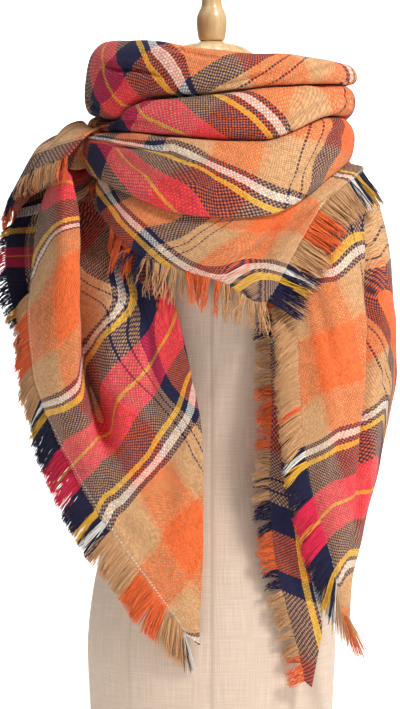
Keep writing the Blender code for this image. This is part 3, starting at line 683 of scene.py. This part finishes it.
def yarn_colour(places, axis):
    """Colour of the yarn at each place, in millimetres, across the wide stripes (axis 0) or the
    cross stripes (1): the stripe whose end is the first past the remainder after the repeat."""
    table, lines = ((WIDE_STRIPES, ()), (CROSS_STRIPES, CROSS_LINES))[axis]
    part = np.mod(places, table[-1][0])
    stripe = np.searchsorted([end for end, _ in table], part, side="right")
    colours = np.array([YARN_COLOURS[name] for _, name in table])[stripe]
    for line in lines:
        colours[np.abs(part - line) < CROSS_LINE_REACH] = YARN_COLOURS["navy"]
    return colours


def woven_edge(grid, normals, check, rows, axis, column=0, inner=2):
    """A woven edge: its points, the way out of the cloth, the cloth's face, the places across the
    stripes that run out there, and which stripes those are."""
    line = grid[rows, column]
    return line, line - grid[rows, inner], normals[rows, column], check[rows, column, axis], axis


def along_hem(value, share):
    """A fringe's setting at each share of its hem: one setting for all of it, or rows of share
    and setting."""
    rows = np.atleast_2d(np.asarray(value, float))
    if len(rows) == 1:
        return np.broadcast_to(rows, (len(share), rows.shape[1]))
    return np.stack([np.interp(share, rows[:, 0], column) for column in rows[:, 1:].T], axis=1)


def loose_yarns(name, node, edge, length, lean, droop, seed, strands=3, tuft=7, pull=0.35,
                curl=1.6, thick=0.62, spread=0.16, uneven=0.2):
    """Fringe yarns along a woven edge. A yarn starts inside the cloth and runs out by its length
    times t, t going from 0 to 1: out along its heading, which leans as given, down by droop times
    t squared, sideways to its tuft's middle by pull times t squared, and in a sine curl that grows
    with t. Tufts and yarns are shorter or longer than the next by the share `uneven`. Each is a
    three-sided tube that thins to its tip, and has the colour of its own stripe."""
    rng = np.random.default_rng(seed)
    line, outward, face, places, axis = edge
    gone = run_along(line)
    marks = np.arange(1.0, gone[-1], YARN_SPACING)
    size, steps = strands * len(marks), YARN_STEPS
    root, out, up = [np.stack([np.interp(marks, gone, column) for column in part.T], axis=1)
                     for part in (line, outward, face)]
    along, up = unit(np.gradient(root, axis=0)), unit(up)
    out = unit(out - along * np.sum(out * along, axis=1, keepdims=True))
    heading = unit(out + along_hem(lean, marks / gone[-1]))
    long = along_hem(length, marks / gone[-1])[:, 0]
    which = np.cumsum(rng.uniform(0.5, 1.6, len(marks)) / tuft).astype(int)
    tufts = which.max() + 1
    tuft_middle = np.array([marks[which == at].mean() for at in range(tufts)])[which]
    heading = heading + rng.normal(0, spread, (tufts, 3))[which]
    long = long * (1 - uneven * rng.uniform(-0.4, 0.7, tufts)[which])
    twin, each = np.tile(np.arange(len(marks)), strands), (size, 1, 1)
    t = np.linspace(0, 1, steps)[None, :, None]
    reach = (long[twin] * (1 - uneven * rng.uniform(-0.3, 0.7, size))).reshape(each)
    head = unit(heading[twin] + rng.normal(0, 0.07, (size, 3)))[:, None]
    aside = ((tuft_middle - marks)[twin] * pull).reshape(each) * along[twin][:, None]
    phase, beat = rng.uniform(0, math.tau, (2, *each)), rng.uniform(0.8, 1.7, each)
    sway = curl * rng.uniform(0.4, 1.3, each) * t ** 1.4 * np.sin(beat * t * math.tau + phase[0])
    bob = 0.7 * curl * t ** 1.4 * np.sin(0.8 * beat * t * math.tau + phase[1])
    start = (root - up * 1.1 - out * 1.6)[twin][:, None] + rng.normal(0, 0.5, (size, 1, 3))
    up, along = up[twin][:, None], along[twin][:, None]
    spine = (start + head * reach * t - np.array((0, 0, 1.0)) * droop * reach * t ** 2
             + aside * t ** 2 + along * sway + up * bob)
    way = unit(np.gradient(spine, axis=1))
    side = unit(np.cross(way, up))
    top = np.cross(side, way)
    radius = thick * (1 - 0.55 * t ** 3) * rng.uniform(0.8, 1.15, each)
    ring = np.stack([spine + radius * (side * math.cos(corner) + top * math.sin(corner))
                     for corner in (0.5, 2.6, 4.7)], axis=2)
    foot = (np.arange(size) * steps * 3)[:, None, None] + (np.arange(steps - 1) * 3)[:, None]
    corner, after = np.arange(3), (np.arange(3) + 1) % 3
    walls = np.stack([foot + corner, foot + after, foot + 3 + after, foot + 3 + corner], axis=3)
    ends = np.concatenate([foot[:, 0] + corner[::-1], foot[:, -1] + 3 + corner])
    starts = np.concatenate([np.arange(0, walls.size, 4), walls.size + np.arange(0, ends.size, 3)])
    made = mesh_of(name, ring.reshape(-1, 3), np.concatenate([walls.ravel(), ends.ravel()]), starts)
    dyed = yarn_colour(np.interp(marks, gone, places), axis)[twin] * rng.uniform(0.82, 1.12, (size, 1))
    values = np.ones((size, steps * 3, 4))
    values[..., :3] = dyed[:, None]
    shade = made.data.color_attributes.new("yarn", "FLOAT_COLOR", "POINT")
    shade.data.foreach_set("color", values.ravel().astype(np.float32))
    return stand_for(made, node, loose_yarn)


def yarn_finish():
    """A loose yarn: its dyed colour with the twist's light and dark streaks, matt and hairy."""
    nodes = Nodes("loose yarn")
    dyed = nodes.add("Attribute", {}, attribute_name="yarn")
    streak = nodes.noise(nodes.add("TexCoord", {}, out=3), 700.0, 2.0)
    tone = nodes.lit(dyed, nodes.math("MULTIPLY_ADD", streak, 0.7, 0.62))
    return nodes.finish(tone, 0.9, streak, 0.0004, Sheen_Weight=0.08, Sheen_Roughness=0.4,
                        Specular_IOR_Level=0.2)


def bib_surface(down, across):
    """The bib: curves down from behind the low roll's crease, over its belly, to its woven hem,
    less a valley of Gaussian section between its belly and its right flap."""
    lines = curve_through(BIB_LINES, np.linspace(0, len(BIB_LINES) - 1, down + 1))
    direction, hem, hem_in, belly_in = lines.T
    rows = cowl_rows(direction)
    crease, low_in = rows[LOW_FOOT], rows[LOW_IN]
    columns = [plan_points(PLAN_LOW, direction, inset, height) for inset, height in (
        (BIB_TUCK + low_in, crease + 14), (BIB_SEAT + low_in, crease - 1),
        (belly_in, crease + (hem - crease) * 0.5), (hem_in, hem))]
    places = np.linspace(0, 3, across + 1)
    grid = loft(columns, places)
    turned_to, middle, deep = np.asarray(BIB_VALLEY, float).T
    middle = np.interp(direction, turned_to, middle).reshape(-1, 1)
    deep = np.interp(direction, turned_to, deep, 0, 0).reshape(-1, 1)
    shape = deep * np.exp(-((places - middle) / BIB_VALLEY_HALF_WIDTH) ** 2)
    return grid - grid_normals(grid) * shape[..., None], places


loose_yarn = yarn_finish()
bib_grid, places = bib_surface(132, 48)
lines = np.linspace(0, len(BIB_LINES) - 1, len(bib_grid))
check = np.asarray(BIB_CHECK, float)
# Up the tuck behind the crease the check runs on a little way
check = np.concatenate([check[:, :1] * 1.16 - check[:, 1:2] * 0.16, check], axis=1)
bib_check = loft(curve_through(check, lines).swapaxes(0, 1), places)
share = np.broadcast_to(places / 3, bib_grid.shape[:2])
fade = np.clip((share - 0.3) * 8, 0, 1) * np.clip((1.04 - share) * 7, 0, 1)
bib_grid = creased(bib_grid, lines[:, None], share, BIB_FOLDS, 0.7, 5, fade)
bib = skin("bib_cloth", bib_grid, coords=bib_check)
left_hem, right_hem = [
    woven_edge(bib_grid, grid_normals(bib_grid), bib_check, rows, axis, -1, -2)
    for rows, axis in ((slice(14, BIB_CORNER + 1), 1), (slice(BIB_CORNER, len(bib_grid)), 0))
]
bib_fringes = [
    loose_yarns("bib_left_yarns", "fringe_bib_left", left_hem,
                33, (0.12, -0.35, -0.35), 0.35, 3, curl=3.4, tuft=5, spread=0.3),
    loose_yarns("bib_right_yarns", "fringe_bib_right", right_hem,
                46, (0.8, -0.5, -0.3), 0.06, 4, curl=0.7, tuft=9, pull=0.25, thick=0.75, spread=0.05),
]
lay_cloth(bib, "bib")


# Left end. The end of the folded square that hangs on the left: a woven edge with its fringe on
# the outside, a deep trough beside the main roll, and a fold on the inside. Each line has four
# points across.
LEFT_END = (
    ((-216, 14, 722), (-196, -8, 762), (-168, -20, 770), (-152, -26, 774)),
    ((-224, 2, 718), (-197, -42, 768), (-166, -44, 765), (-147, -42, 769)),
    ((-227, -14, 702), (-191, -86, 757), (-155.6, -84.4, 748), (-134, -66, 760)),
    ((-229, -26, 672), (-188, -118, 706), (-141.3, -87.4, 706), (-112, -95, 708)),
    ((-232, -34, 634), (-189, -133, 655), (-124, -104, 658), (-80, -108, 664)),
    ((-235, -42, 592), (-192, -138, 602), (-108, -124, 603), (-50, -130, 614)),
    ((-234, -50, 550), (-195, -135, 552), (-99, -128, 553), (-35, -137, 560)),
    ((-226, -63, 505), (-193, -130, 502), (-93, -131, 503), (-24, -140, 508)),
    ((-213, -81, 466), (-180, -127, 458), (-85, -132, 456), (-14, -140, 458)),
    ((-190, -101, 420), (-157, -128, 411), (-75, -134, 406), (-11, -140, 404)),
    ((-160, -118, 366), (-130, -131, 359), (-63, -135, 352), (-11, -137, 348)),
    ((-125, -127, 311), (-100, -133, 306), (-50, -135, 300), (-11, -132, 296)),
    ((-88, -130, 261), (-70, -133, 257), (-38, -134, 252), (-13, -130, 248)),
    ((-53, -130, 216), (-43, -132, 212), (-28, -132, 207), (-16, -129, 203)),
    ((-36, -130, 192), (-30, -131, 187), (-22, -131, 181), (-15, -129, 176)),
)
# Place on the cloth for each line: across the wide stripes at six steps over the end, then across
# the cross stripes at the last five of them, since its woven edge lies at 0. The third and fourth
# steps are the two sides of the trough.
# On the third and fourth lines the cross stripes run into their navy band at the trough's inner side
# and past it. This is a stripe of the check, set there as painted shade for the hollow where this end
# goes in under the low roll.
LEFT_CHECK = (
    (765, 812, 826, 826, 826, 820, 40, 75, 90, 120, 165),
    (750, 820, 824, 822, 815, 815, 55, 88, 105, 130, 185),
    (742, 803, 800, 650, 620, 600, 62, 95, 190, 200, 205),
    (728, 722, 712, 600, 560, 520, 65, 100, 190, 200, 205),
    (705, 625, 590, 540, 470, 430, 62, 105, 178, 215, 250),
    (625, 592, 565, 518, 455, 392, 62, 105, 140, 178, 235),
    (582, 556, 520, 465, 405, 350, 52, 98, 130, 182, 272),
    (530, 497, 472, 420, 362, 288, 48, 85, 112, 162, 255),
    (464, 438, 420, 393, 312, 266, 38, 57, 80, 128, 192),
    (413, 370, 344, 328, 274, 232, 27, 40, 58, 110, 160),
    (330, 292, 282, 268, 220, 190, 20, 32, 46, 88, 122),
    (262, 240, 226, 217, 172, 142, 14, 25, 38, 72, 100),
    (195, 172, 164, 155, 132, 110, 12, 20, 29, 48, 66),
    (120, 106, 103, 98, 88, 78, 8, 12, 17, 28, 38),
    (52, 52, 52, 52, 50, 48, 5, 8, 11, 15, 20),
)
LEFT_MIDDLE = (1.75, 1.75, 1.75, 1.68, 1.56, 1.5, 1.45, 1.42, 1.4, 1.38, 1.38, 1.38, 1.38, 1.38, 1.38)
# The trough: first and last share down, depth, half widths of its steep outer wall and inner one
LEFT_TROUGH = (0.06, 0.66, 56, 7, 17)
# Columns of the sheet, closer together at the trough
LEFT_COLUMNS = (0, 0.4, 0.8, 1.05, 1.2, 1.32, 1.42, 1.52, 1.62, 1.72, 1.85, 2.1, 2.5, 3)
LEFT_FOLDS = (
    (6.2, 0.62, 9.6, 0.40, 5.0, 12.0), (4.0, 0.80, 8.2, 0.72, 4.0, 9.0),
    (7.6, 0.88, 11.4, 0.60, 4.0, 11.0), (3.4, 0.14, 6.4, 0.20, 4.0, 9.0),
    (9.6, 0.30, 12.6, 0.50, 3.0, 10.0), (2.0, 0.62, 4.2, 0.60, 3.5, 9.0),
)


def panel_surface(table, down, places):
    """A hanging panel: the curves through its table's rows, and across them. Gives its grid and
    how far down the table each of its lines lies."""
    lines = np.linspace(0, len(table) - 1, down + 1)
    return loft(curve_through(table, lines).swapaxes(0, 1), places), lines[:, None]


def press_trough(grid, places, middle, first, last, deep, outer, inner):
    """Press a soft trough down a panel, along the place across that is given for each line: of
    Gaussian section, one half width before its middle and another past it, and faded out at both
    ends."""
    down = np.linspace(0, 1, grid.shape[0])
    across = np.interp(down, np.linspace(0, 1, len(middle)), middle)
    run = run_across(grid)
    middle = np.array([np.interp(here, places, row) for here, row in zip(across, run)]).reshape(-1, 1)
    fade = np.clip(np.minimum(down - first, last - down) / (0.22 * (last - first)), 0, 1)
    fade = (fade * fade * (3 - 2 * fade)).reshape(-1, 1)
    half = np.where(run < middle, outer, inner)
    return grid + grid_normals(grid) * (deep * np.exp(-((run - middle) / half) ** 2) * fade)[..., None]


def turned_under(grid, normals, side, gap=9, steps=5):
    """A folded edge: a rounded return behind the last column, on a quarter oval."""
    edge = grid[:, -1]
    width = np.linalg.norm(grid[:, 0] - edge, axis=1, keepdims=True)
    inward = unit(grid[:, -2] - edge) * np.minimum(side, width * 0.5)
    behind = -normals[:, -1] * np.clip(width * 0.35, 6.5, gap)
    angle = np.linspace(0, math.pi / 2, steps + 1)[1:]
    extra = [edge + inward * (1 - math.cos(a)) + behind * math.sin(a) for a in angle]
    return np.concatenate([grid, np.stack(extra, axis=1)], axis=1)


def check_across(grid, places, table, steps):
    """Places on the cloth for a hanging panel: its table's pairs, in step with the length along
    each line between the places given as steps, and rounded off where two stretches meet."""
    down = np.linspace(0, len(table) - 1, len(grid))
    table = curve_through(table, down)
    steps = curve_through(steps, down)
    run = run_across(grid)
    made = np.array([[np.interp(row, np.interp(at, places, row), values[axis]) for axis in (0, 1)]
                     for row, at, values in zip(run, steps, table)])
    reach = 2
    wide = np.concatenate([2 * made[..., :1] - made[..., reach:0:-1], made,
                           2 * made[..., -1:] - made[..., -2:-reach - 2:-1]], axis=2)
    made = sum(wide[..., at:at + made.shape[2]] for at in range(2 * reach + 1)) / (2 * reach + 1)
    return np.swapaxes(made, 1, 2)


def continued(check, grid):
    """Places on the cloth for the columns added behind a fold: on at the last column's rate."""
    columns = check.shape[1]
    run = run_across(grid)
    last_run = (run[:, columns - 1] - run[:, columns - 4])[:, None, None]
    rate = (check[:, -1:] - check[:, -4:-3]) / last_run
    more = (run[:, columns:] - run[:, columns - 1:columns])[..., None]
    return np.concatenate([check, check[:, -1:] + rate * more], axis=1)


def hanging_end(name, table, down, places, check, steps, trough, folds, seed, turn):
    """An end of the square: its panel with a trough pressed into it, its creases, and its folded
    edge. Gives the piece, its grid without the return, that grid's normals and its check."""
    grid, lines = panel_surface(table, down, places)
    grid = press_trough(grid, places, *trough)
    check = check_across(grid, places, check, steps)
    grid = creased(grid, lines, places[None] / places[-1], folds, 0.8, seed, side=-1)
    normals = -grid_normals(grid)
    full = turned_under(grid, normals, turn)
    return skin(name, full, flip=True, coords=continued(check, full)), grid, normals, check


places = np.interp(np.linspace(0, 1, 92), np.linspace(0, 1, 14), LEFT_COLUMNS)
left_steps = [(0, 1.0, middle - 0.10, middle + 0.12, 2.2, 3) for middle in LEFT_MIDDLE]
left_pairs = [[row[:6], (0,) + row[6:]] for row in LEFT_CHECK]
left_end, *left_sheet = hanging_end("left_end_cloth", LEFT_END, 168, places, left_pairs, left_steps,
                                    (LEFT_MIDDLE, *LEFT_TROUGH), LEFT_FOLDS, 6, 26)
# Longer at the tip, where it swings round into a tassel
left_fringe = loose_yarns(
    "left_end_yarns", "fringe_end_left", woven_edge(*left_sheet, slice(54, 169), 0),
    ((0, 38), (0.9, 40), (1, 50)),
    ((0, -0.25, -0.1, -0.35), (0.88, -0.2, -0.1, -0.4), (1, 1.0, -0.1, -1.2)),
    0.22, 5, strands=6, curl=0.8, tuft=12, thick=0.8, spread=0.03, uneven=0.09)
lay_cloth(left_end, "end_left")


# Layer behind the left end. The square is folded, so a second edge with its own fringe shows
# behind the first. Each line has three points across.
LEFT_UNDER = (
    ((-236, 44, 737), (-210, 48, 747), (-178, 44, 751)),
    ((-252, 18, 714), (-228, 30, 720), (-188, 34, 724)),
    ((-263, -2, 682), (-236, 15, 684), (-192, 18, 688)),
    ((-265, -11, 645), (-239, 4, 645), (-191, 2, 648)),
    ((-259, -17, 606), (-236, -8, 604), (-187, -18, 602)),
    ((-243, -28, 566), (-218, -26, 560), (-174, -50, 556)),
    ((-229, -40, 520), (-200, -48, 512), (-156, -76, 504)),
    ((-206, -60, 470), (-178, -75, 460), (-134, -94, 450)),
    ((-175, -84, 414), (-150, -97, 406), (-112, -108, 396)),
    ((-138, -104, 352), (-120, -110, 344), (-95, -115, 336)),
    ((-109, -112, 306), (-100, -114, 301), (-88, -116, 296)),
)
LEFT_UNDER_FOLDS = ((0.6, 0.3, 3.0, 0.6, 3.0, 9.0), (4.0, 0.7, 7.0, 0.4, 3.0, 9.0))
# Place on the cloth along its woven edge, for each line
LEFT_UNDER_PLACES = (258, 283, 310, 412, 440, 475, 520, 560, 600, 640, 670)


def under_layer(name, table, down, folds, edge_places, start, seed, rows, axis):
    """A layer seen behind an end: its panel, creased, with its check laid out by the places given
    for the lines down its woven edge, and by the length in from that edge. Gives the piece and
    the woven edge along those rows."""
    places = np.linspace(0, 2, 26)
    grid, lines = panel_surface(table, down, places)
    grid = creased(grid, lines, places[None] / 2, folds, 0.5, seed, side=-1)
    inward = start + run_across(grid)
    along = curve_through(np.array(edge_places, float)[:, None], lines[:, 0])
    along = np.broadcast_to(along, inward.shape)
    check = np.stack((inward, along) if axis else (along, inward), axis=2)
    piece = skin(name, grid, flip=True, coords=check)
    return piece, woven_edge(grid, -grid_normals(grid), check, rows, axis)


left_under, edge = under_layer("left_under_cloth", LEFT_UNDER, 100, LEFT_UNDER_FOLDS,
                               LEFT_UNDER_PLACES, -27, 7, slice(14, 60), 0)
under_fringe = loose_yarns("left_under_yarns", "fringe_left_under", edge,
                           17, (-0.3, 0.0, -0.4), 0.35, 6, curl=2.0, tuft=5, spread=0.16)
lay_cloth(left_under, "end_left_under")


# Wrap over the left shoulder and the back. It crosses the back under the middle roll and lies
# over that shoulder; its lower edge is woven, with the same fringe. Each line: its direction, then
# how far in and how high each of its four points lies.
LEFT_WRAP = (
    (112, 7.8, 812, 7.2, 810, 7.2, 807, 7.6, 805),
    (119, 9.9, 815, 7.6, 809, 7.4, 804, 7.8, 799),
    (127, 14, 817, 7.0, 807, 6.0, 798, 6.0, 788),
    (136, 28, 814, 3.0, 802, 1.0, 789, 1.0, 775),
    (148, 31, 810, 0.0, 799, -3, 778, -3, 758),
    (162, 31, 807, 0.0, 797, -5, 766, -7, 737),
    (180, 30, 806.5, 0.0, 795, -9, 758, -13, 716),
    (200, 30, 808, -2, 796, -16, 756, -24, 705),
    (226, 31, 815, -5, 806, -36, 758, -59, 700),
    (246, 14, 824, -6, 822, -50, 774, -84, 704),
    (262, 16, 824, 1, 832, -50, 792, -88, 724),
    (276, 20, 823, 1, 828, -43, 800, -70, 756),
    (287, 20, 822, 2, 822, -27, 800, -47, 774),
    (296, 18, 822.5, 0.5, 813, -14, 798, -27, 784),
)
WRAP_FOLDS = (
    (5.0, 0.36, 8.4, 0.60, 5.0, 11.0), (7.2, 0.50, 10.4, 0.78, 5.0, 11.0),
    (3.6, 0.62, 6.6, 0.84, 4.0, 10.0), (9.6, 0.40, 11.8, 0.66, 4.0, 9.0),
)
# Place across the wide stripes by the length in from the hem; a small pleat hides what it skips
WRAP_FROM_HEM = ((0, 33, 36, 200), (0, 33, 66, 230))
# Place across the cross stripes: at the last line, and its rate along the hem from there
WRAP_CROSS_PLACE, WRAP_CROSS_RATE = 112, 0.75

lines = np.linspace(0, len(LEFT_WRAP) - 1, 177)[:, None]
rows = curve_through(LEFT_WRAP, lines[:, 0])
columns = [plan_points(PLAN_LOW, rows[:, 0], rows[:, at], rows[:, at + 1]) for at in (1, 3, 5, 7)]
places = np.linspace(0, 3, 40)
wrap_grid = loft(columns, places)
fade = np.clip((places / 3 - 0.25) * 5, 0, 1)[None] * np.clip(lines - 1.5, 0, 1)
wrap_grid = creased(wrap_grid, lines, places[None] / 3, WRAP_FOLDS, 0.7, 8, fade)
run = run_across(wrap_grid)
from_hem = run[:, -1:] - run
fall = run_along(wrap_grid[:, -1])
along = WRAP_CROSS_PLACE + WRAP_CROSS_RATE * (fall[-1] - fall)[:, None]
wrap_check = np.stack([np.interp(from_hem, *WRAP_FROM_HEM), np.broadcast_to(along, from_hem.shape)],
                      axis=2)
wrap = skin("wrap_cloth", wrap_grid, coords=wrap_check)
rows = slice(44, len(wrap_grid))
edge = woven_edge(wrap_grid, grid_normals(wrap_grid), wrap_check, rows, 1, -1, -3)
wrap_fringe = loose_yarns("wrap_yarns", "fringe_wrap_left", edge,
                          24, (0, 0.05, -0.3), 0.4, 7, curl=2.4, tuft=5, spread=0.2)
lay_cloth(wrap, "wrap_left")


# Right end. The other end, from the crossing behind the neck over the right shoulder: its fringe
# lies flat along the inner woven edge, and it turns round to the side over a soft valley. Each
# line has five points across.
RIGHT_END = (
    ((48, 101, 788), (49, 105, 777), (50, 108, 766), (50, 110, 754), (50, 111, 744)),
    ((98, 82, 790), (101, 88, 774), (103, 92, 758), (104, 96, 740), (105, 101, 722)),
    ((134, 50, 790), (139, 60, 772), (150, 72, 744), (165, 82, 718), (177, 90, 690)),
    ((159, 18, 793), (180, 30, 768), (198, 44, 742), (212, 58, 710), (223, 68, 672)),
    ((172, -20, 786), (191, -10, 764), (209, 8, 742), (226, 28, 700), (237, 44, 632)),
    ((163, -52, 768), (182, -56, 750), (202, -46, 726), (227, -12, 674), (240, 20, 588)),
    ((133, -82, 736), (160, -90, 716), (195, -82, 686), (227, -42, 630), (241, 4, 545)),
    ((112, -112, 672), (152, -121, 650), (197, -95, 622), (230, -56, 578), (240, -5, 500)),
    ((102, -131, 606), (152, -141, 588), (198, -102, 567), (229, -64, 530), (233, -12, 462)),
    ((105, -144, 538), (152, -147, 521), (195, -107, 504), (220, -72, 480), (226, -22, 430)),
    ((108, -145, 472), (152, -145, 456), (190, -112, 440), (210, -82, 420), (214, -42, 385)),
    ((114, -143, 416), (151, -143, 401), (184, -115, 386), (200, -92, 368), (203, -58, 345)),
    ((126, -136, 356), (152, -139, 344), (177, -119, 332), (188, -102, 320), (191, -78, 305)),
    ((145, -129, 296), (156, -132, 289), (170, -122, 282), (178, -110, 274), (181, -96, 265)),
    ((153, -125, 254), (160, -127, 249), (167, -122, 244), (173, -114, 238), (176, -102, 232)),
    ((158, -121, 222), (162, -123, 216), (166, -122, 212), (170, -118, 209), (173, -109, 206)),
)
# Place on the cloth for each line: across the wide stripes at the six steps over the end, then
# across the cross stripes at the same steps
RIGHT_CHECK = (
    (-330, -300, -270, -242, -230, -190, 120, 130, 142, 151, 155, 165),
    (-265, -230, -190, -141, -120, -60, 118, 130, 142, 151, 155, 170),
    (-195, -150, -95, -50, -30, 40, 115, 128, 142, 151, 155, 175),
    (-125, -75, -20, 68, 85, 0, 110, 125, 142, 132, 140, 190),
    (-85, -40, 8, 74, 92, 30, 105, 125, 190, 138, 148, 205),
    (-60, -20, 18, 88, 112, 60, 90, 120, 185, 138, 168, 225),
    (-20, 12, 42, 118, 145, 110, 75, 140, 180, 150, 196, 245),
    (20, 47, 112, 135, 185, 165, 60, 122, 156, 200, 232, 285),
    (85, 118, 165, 176, 228, 225, 40, 108, 138, 158, 188, 262),
    (148, 182, 215, 227, 278, 285, 30, 90, 128, 136, 152, 234),
    (206, 262, 294, 304, 335, 345, 18, 72, 106, 112, 128, 205),
    (284, 322, 352, 358, 374, 398, 8, 48, 95, 100, 116, 160),
    (350, 388, 412, 416, 424, 440, 5, 32, 56, 60, 68, 110),
    (425, 443, 466, 468, 474, 482, 3, 14, 26, 29, 36, 44),
    (474, 484, 500, 503, 512, 522, 2, 10, 18, 20, 24, 30),
    (575, 575, 575, 575, 576, 578, 0, 5, 9, 10, 14, 18),
)
RIGHT_STEPS = (0, 1, 2, 2.2, 3, 4)
RIGHT_TROUGH = (0.26, 0.80, 18, 7, 13)
RIGHT_COLUMNS = (0, 0.7, 1.4, 1.9, 2.06, 2.18, 2.6, 3.3, 4)
TAN_PLACE = 120
RIGHT_FOLDS = (
    (6.0, 0.44, 9.4, 0.54, 5.0, 7.0), (7.4, 0.10, 9.8, 0.34, 4.0, 11.0),
    (9.2, 0.36, 12.2, 0.20, 4.0, 10.0), (5.2, 0.30, 7.0, 0.16, 4.0, 9.0),
    (7.0, 0.78, 9.6, 0.66, 4.0, 9.0), (2.4, 0.4, 4.8, 0.6, 4.0, 9.0),
    (10.0, 0.78, 12.4, 0.50, 3.0, 8.0),
)

places = np.interp(np.linspace(0, 1, 78), np.linspace(0, 1, 9), RIGHT_COLUMNS)
right_pairs = [[row[:6], row[6:]] for row in RIGHT_CHECK]
right_end, *right_sheet = hanging_end("right_end_cloth", RIGHT_END, 180, places, right_pairs,
                                      [RIGHT_STEPS] * len(RIGHT_END), ((2.1, 2.1), *RIGHT_TROUGH),
                                      RIGHT_FOLDS, 9, 22)
*edge, bare, axis = woven_edge(*right_sheet, slice(94, 181), 0)
# The orange stripe's yarns are left tan at this edge, as they are in the photo
bare = np.where((bare > 132) & (bare < 204), TAN_PLACE, bare)
right_fringe = loose_yarns(
    "right_end_yarns", "fringe_end_right", (*edge, bare, axis),
    ((0, 34), (0.85, 34), (0.93, 48), (1, 64)),
    ((0, -0.2, -0.55, -0.4), (0.82, -0.1, -0.5, -0.5), (0.92, 0.7, -0.3, -1.2), (1, 1.9, -0.1, -1.7)),
    0.25, 8, strands=6, curl=1.0, tuft=12, thick=0.8, spread=0.05, uneven=0.1)
lay_cloth(right_end, "end_right")


# Layer behind the right end, with its own curly fringe towards the middle of the form. It is the
# other edge of the square, so the cross stripes run out there.
RIGHT_UNDER = (
    ((88, -112, 650), (112, -118.6, 642), (140, -114, 632)),
    ((76, -122, 600), (108, -133, 590), (142, -129, 576)),
    ((72, -126, 540), (106, -135, 530), (144, -133, 516)),
    ((74, -127, 480), (108, -136, 470), (146, -132, 456)),
    ((72, -126, 420), (108, -134, 410), (146, -129, 396)),
    ((71, -123, 372), (106, -131, 360), (144, -125, 346)),
    ((75, -120, 316), (104, -126, 304), (138, -120, 290)),
    ((85, -118, 254), (108, -122, 244), (138, -117, 234)),
    ((98, -115, 204), (116, -119, 196), (138, -116, 188)),
    ((110, -112, 158), (120, -115, 152), (131, -114, 146)),
    ((117, -111, 126), (121, -112, 122), (126, -112, 118)),
)
RIGHT_UNDER_FOLDS = ((1.0, 0.5, 4.0, 0.3, 2.5, 8.0), (5.0, 0.3, 8.0, 0.5, 2.5, 8.0))
RIGHT_UNDER_PLACES = (-90, -35, 20, 80, 120, 168, 212, 286, 325, 357, 388)

right_under, edge = under_layer("right_under_cloth", RIGHT_UNDER, 110, RIGHT_UNDER_FOLDS,
                                RIGHT_UNDER_PLACES, 2, 10, slice(11, 111), 1)
under_fringe = loose_yarns("right_under_yarns", "fringe_right_under", edge,
                           23, (-0.3, -0.1, -0.1), 0.2, 9, curl=3.0, tuft=5, spread=0.2)
lay_cloth(right_under, "end_right_under")


# Camera, studio and the last lines. A white paper cove whose wall glows a little more the further
# back it lies, three soft lamps, and the camera at the photo's angle.
COVE_LINE = ((-2.2, 0), (5.8, 0), (6.6, 0.1), (7.2, 0.6), (7.4, 1.6), (7.4, 5.0))
CAMERA_TARGET = Vector((-0.015, 0, 0.531))
CAMERA_AWAY = 2.8
CAMERA_TILT = math.radians(4)
CAMERA_LENS = 109.4
SENSOR_WIDTH = 36.0
# Each lamp: its name, place and size in metres, and power in watts
LAMPS = (
    ("key", (1.5, -1.6, 2.8), 0.6, 86),
    ("fill", (2.1, -1.9, 1.2), 1.8, 6),
    ("top", (0.0, 0.2, 2.9), 1.4, 20),
)
LAMPS_TARGET = Vector((0, 0, 0.6))
STUDIO_LIGHT = 0.16

cove_line = curve_through(COVE_LINE, np.linspace(0, 5, 60)) * 1000
cove = np.stack([np.column_stack([np.full(60, x), cove_line]) for x in (-4000, 0, 4000)])
cove_sheet = skin("cove_stage", cove)
paper = Nodes("white paper cove")
away = paper.add("SeparateXYZ", {0: paper.add("TexCoord", {}, out=3)}, out=1)
glow = paper.math("MAXIMUM", paper.math("MULTIPLY_ADD", away, 0.2, 0.6), 0.78)
paper.fill(paper.shader, {"Base Color": (0.9, 0.9, 0.9, 1.0), "Roughness": 0.9,
                          "Emission Color": (1.0, 1.0, 1.0, 1.0),
                          "Emission Strength": paper.math("MINIMUM", glow, 1.05)})
cove_sheet.data.materials.append(paper.material)

world = bpy.data.worlds.new("studio")
world.use_nodes = True
world.node_tree.nodes["Background"].inputs[0].default_value = (1.0, 0.99, 0.97, 1.0)
world.node_tree.nodes["Background"].inputs[1].default_value = STUDIO_LIGHT
bpy.context.scene.world = world
for name, place, size, power in LAMPS:
    lamp = bpy.data.lights.new(name, "AREA")
    lamp.energy = power
    lamp.size = size
    shown = bpy.data.objects.new(name, lamp)
    shown.location = place
    shown.rotation_euler = (LAMPS_TARGET - Vector(place)).to_track_quat("-Z", "Y").to_euler()
    bpy.context.scene.collection.objects.link(shown)

camera = bpy.data.cameras.new("camera")
camera.lens = CAMERA_LENS
camera.sensor_width = SENSOR_WIDTH
camera_stand = bpy.data.objects.new("camera", camera)
back = Vector((0, -math.cos(CAMERA_TILT), math.sin(CAMERA_TILT)))
camera_stand.location = CAMERA_TARGET + CAMERA_AWAY * back
camera_stand.rotation_euler = (math.pi / 2 - CAMERA_TILT, 0, 0)
bpy.context.scene.collection.objects.link(camera_stand)
bpy.context.scene.camera = camera_stand
bpy.context.scene.view_settings.view_transform = "Standard"
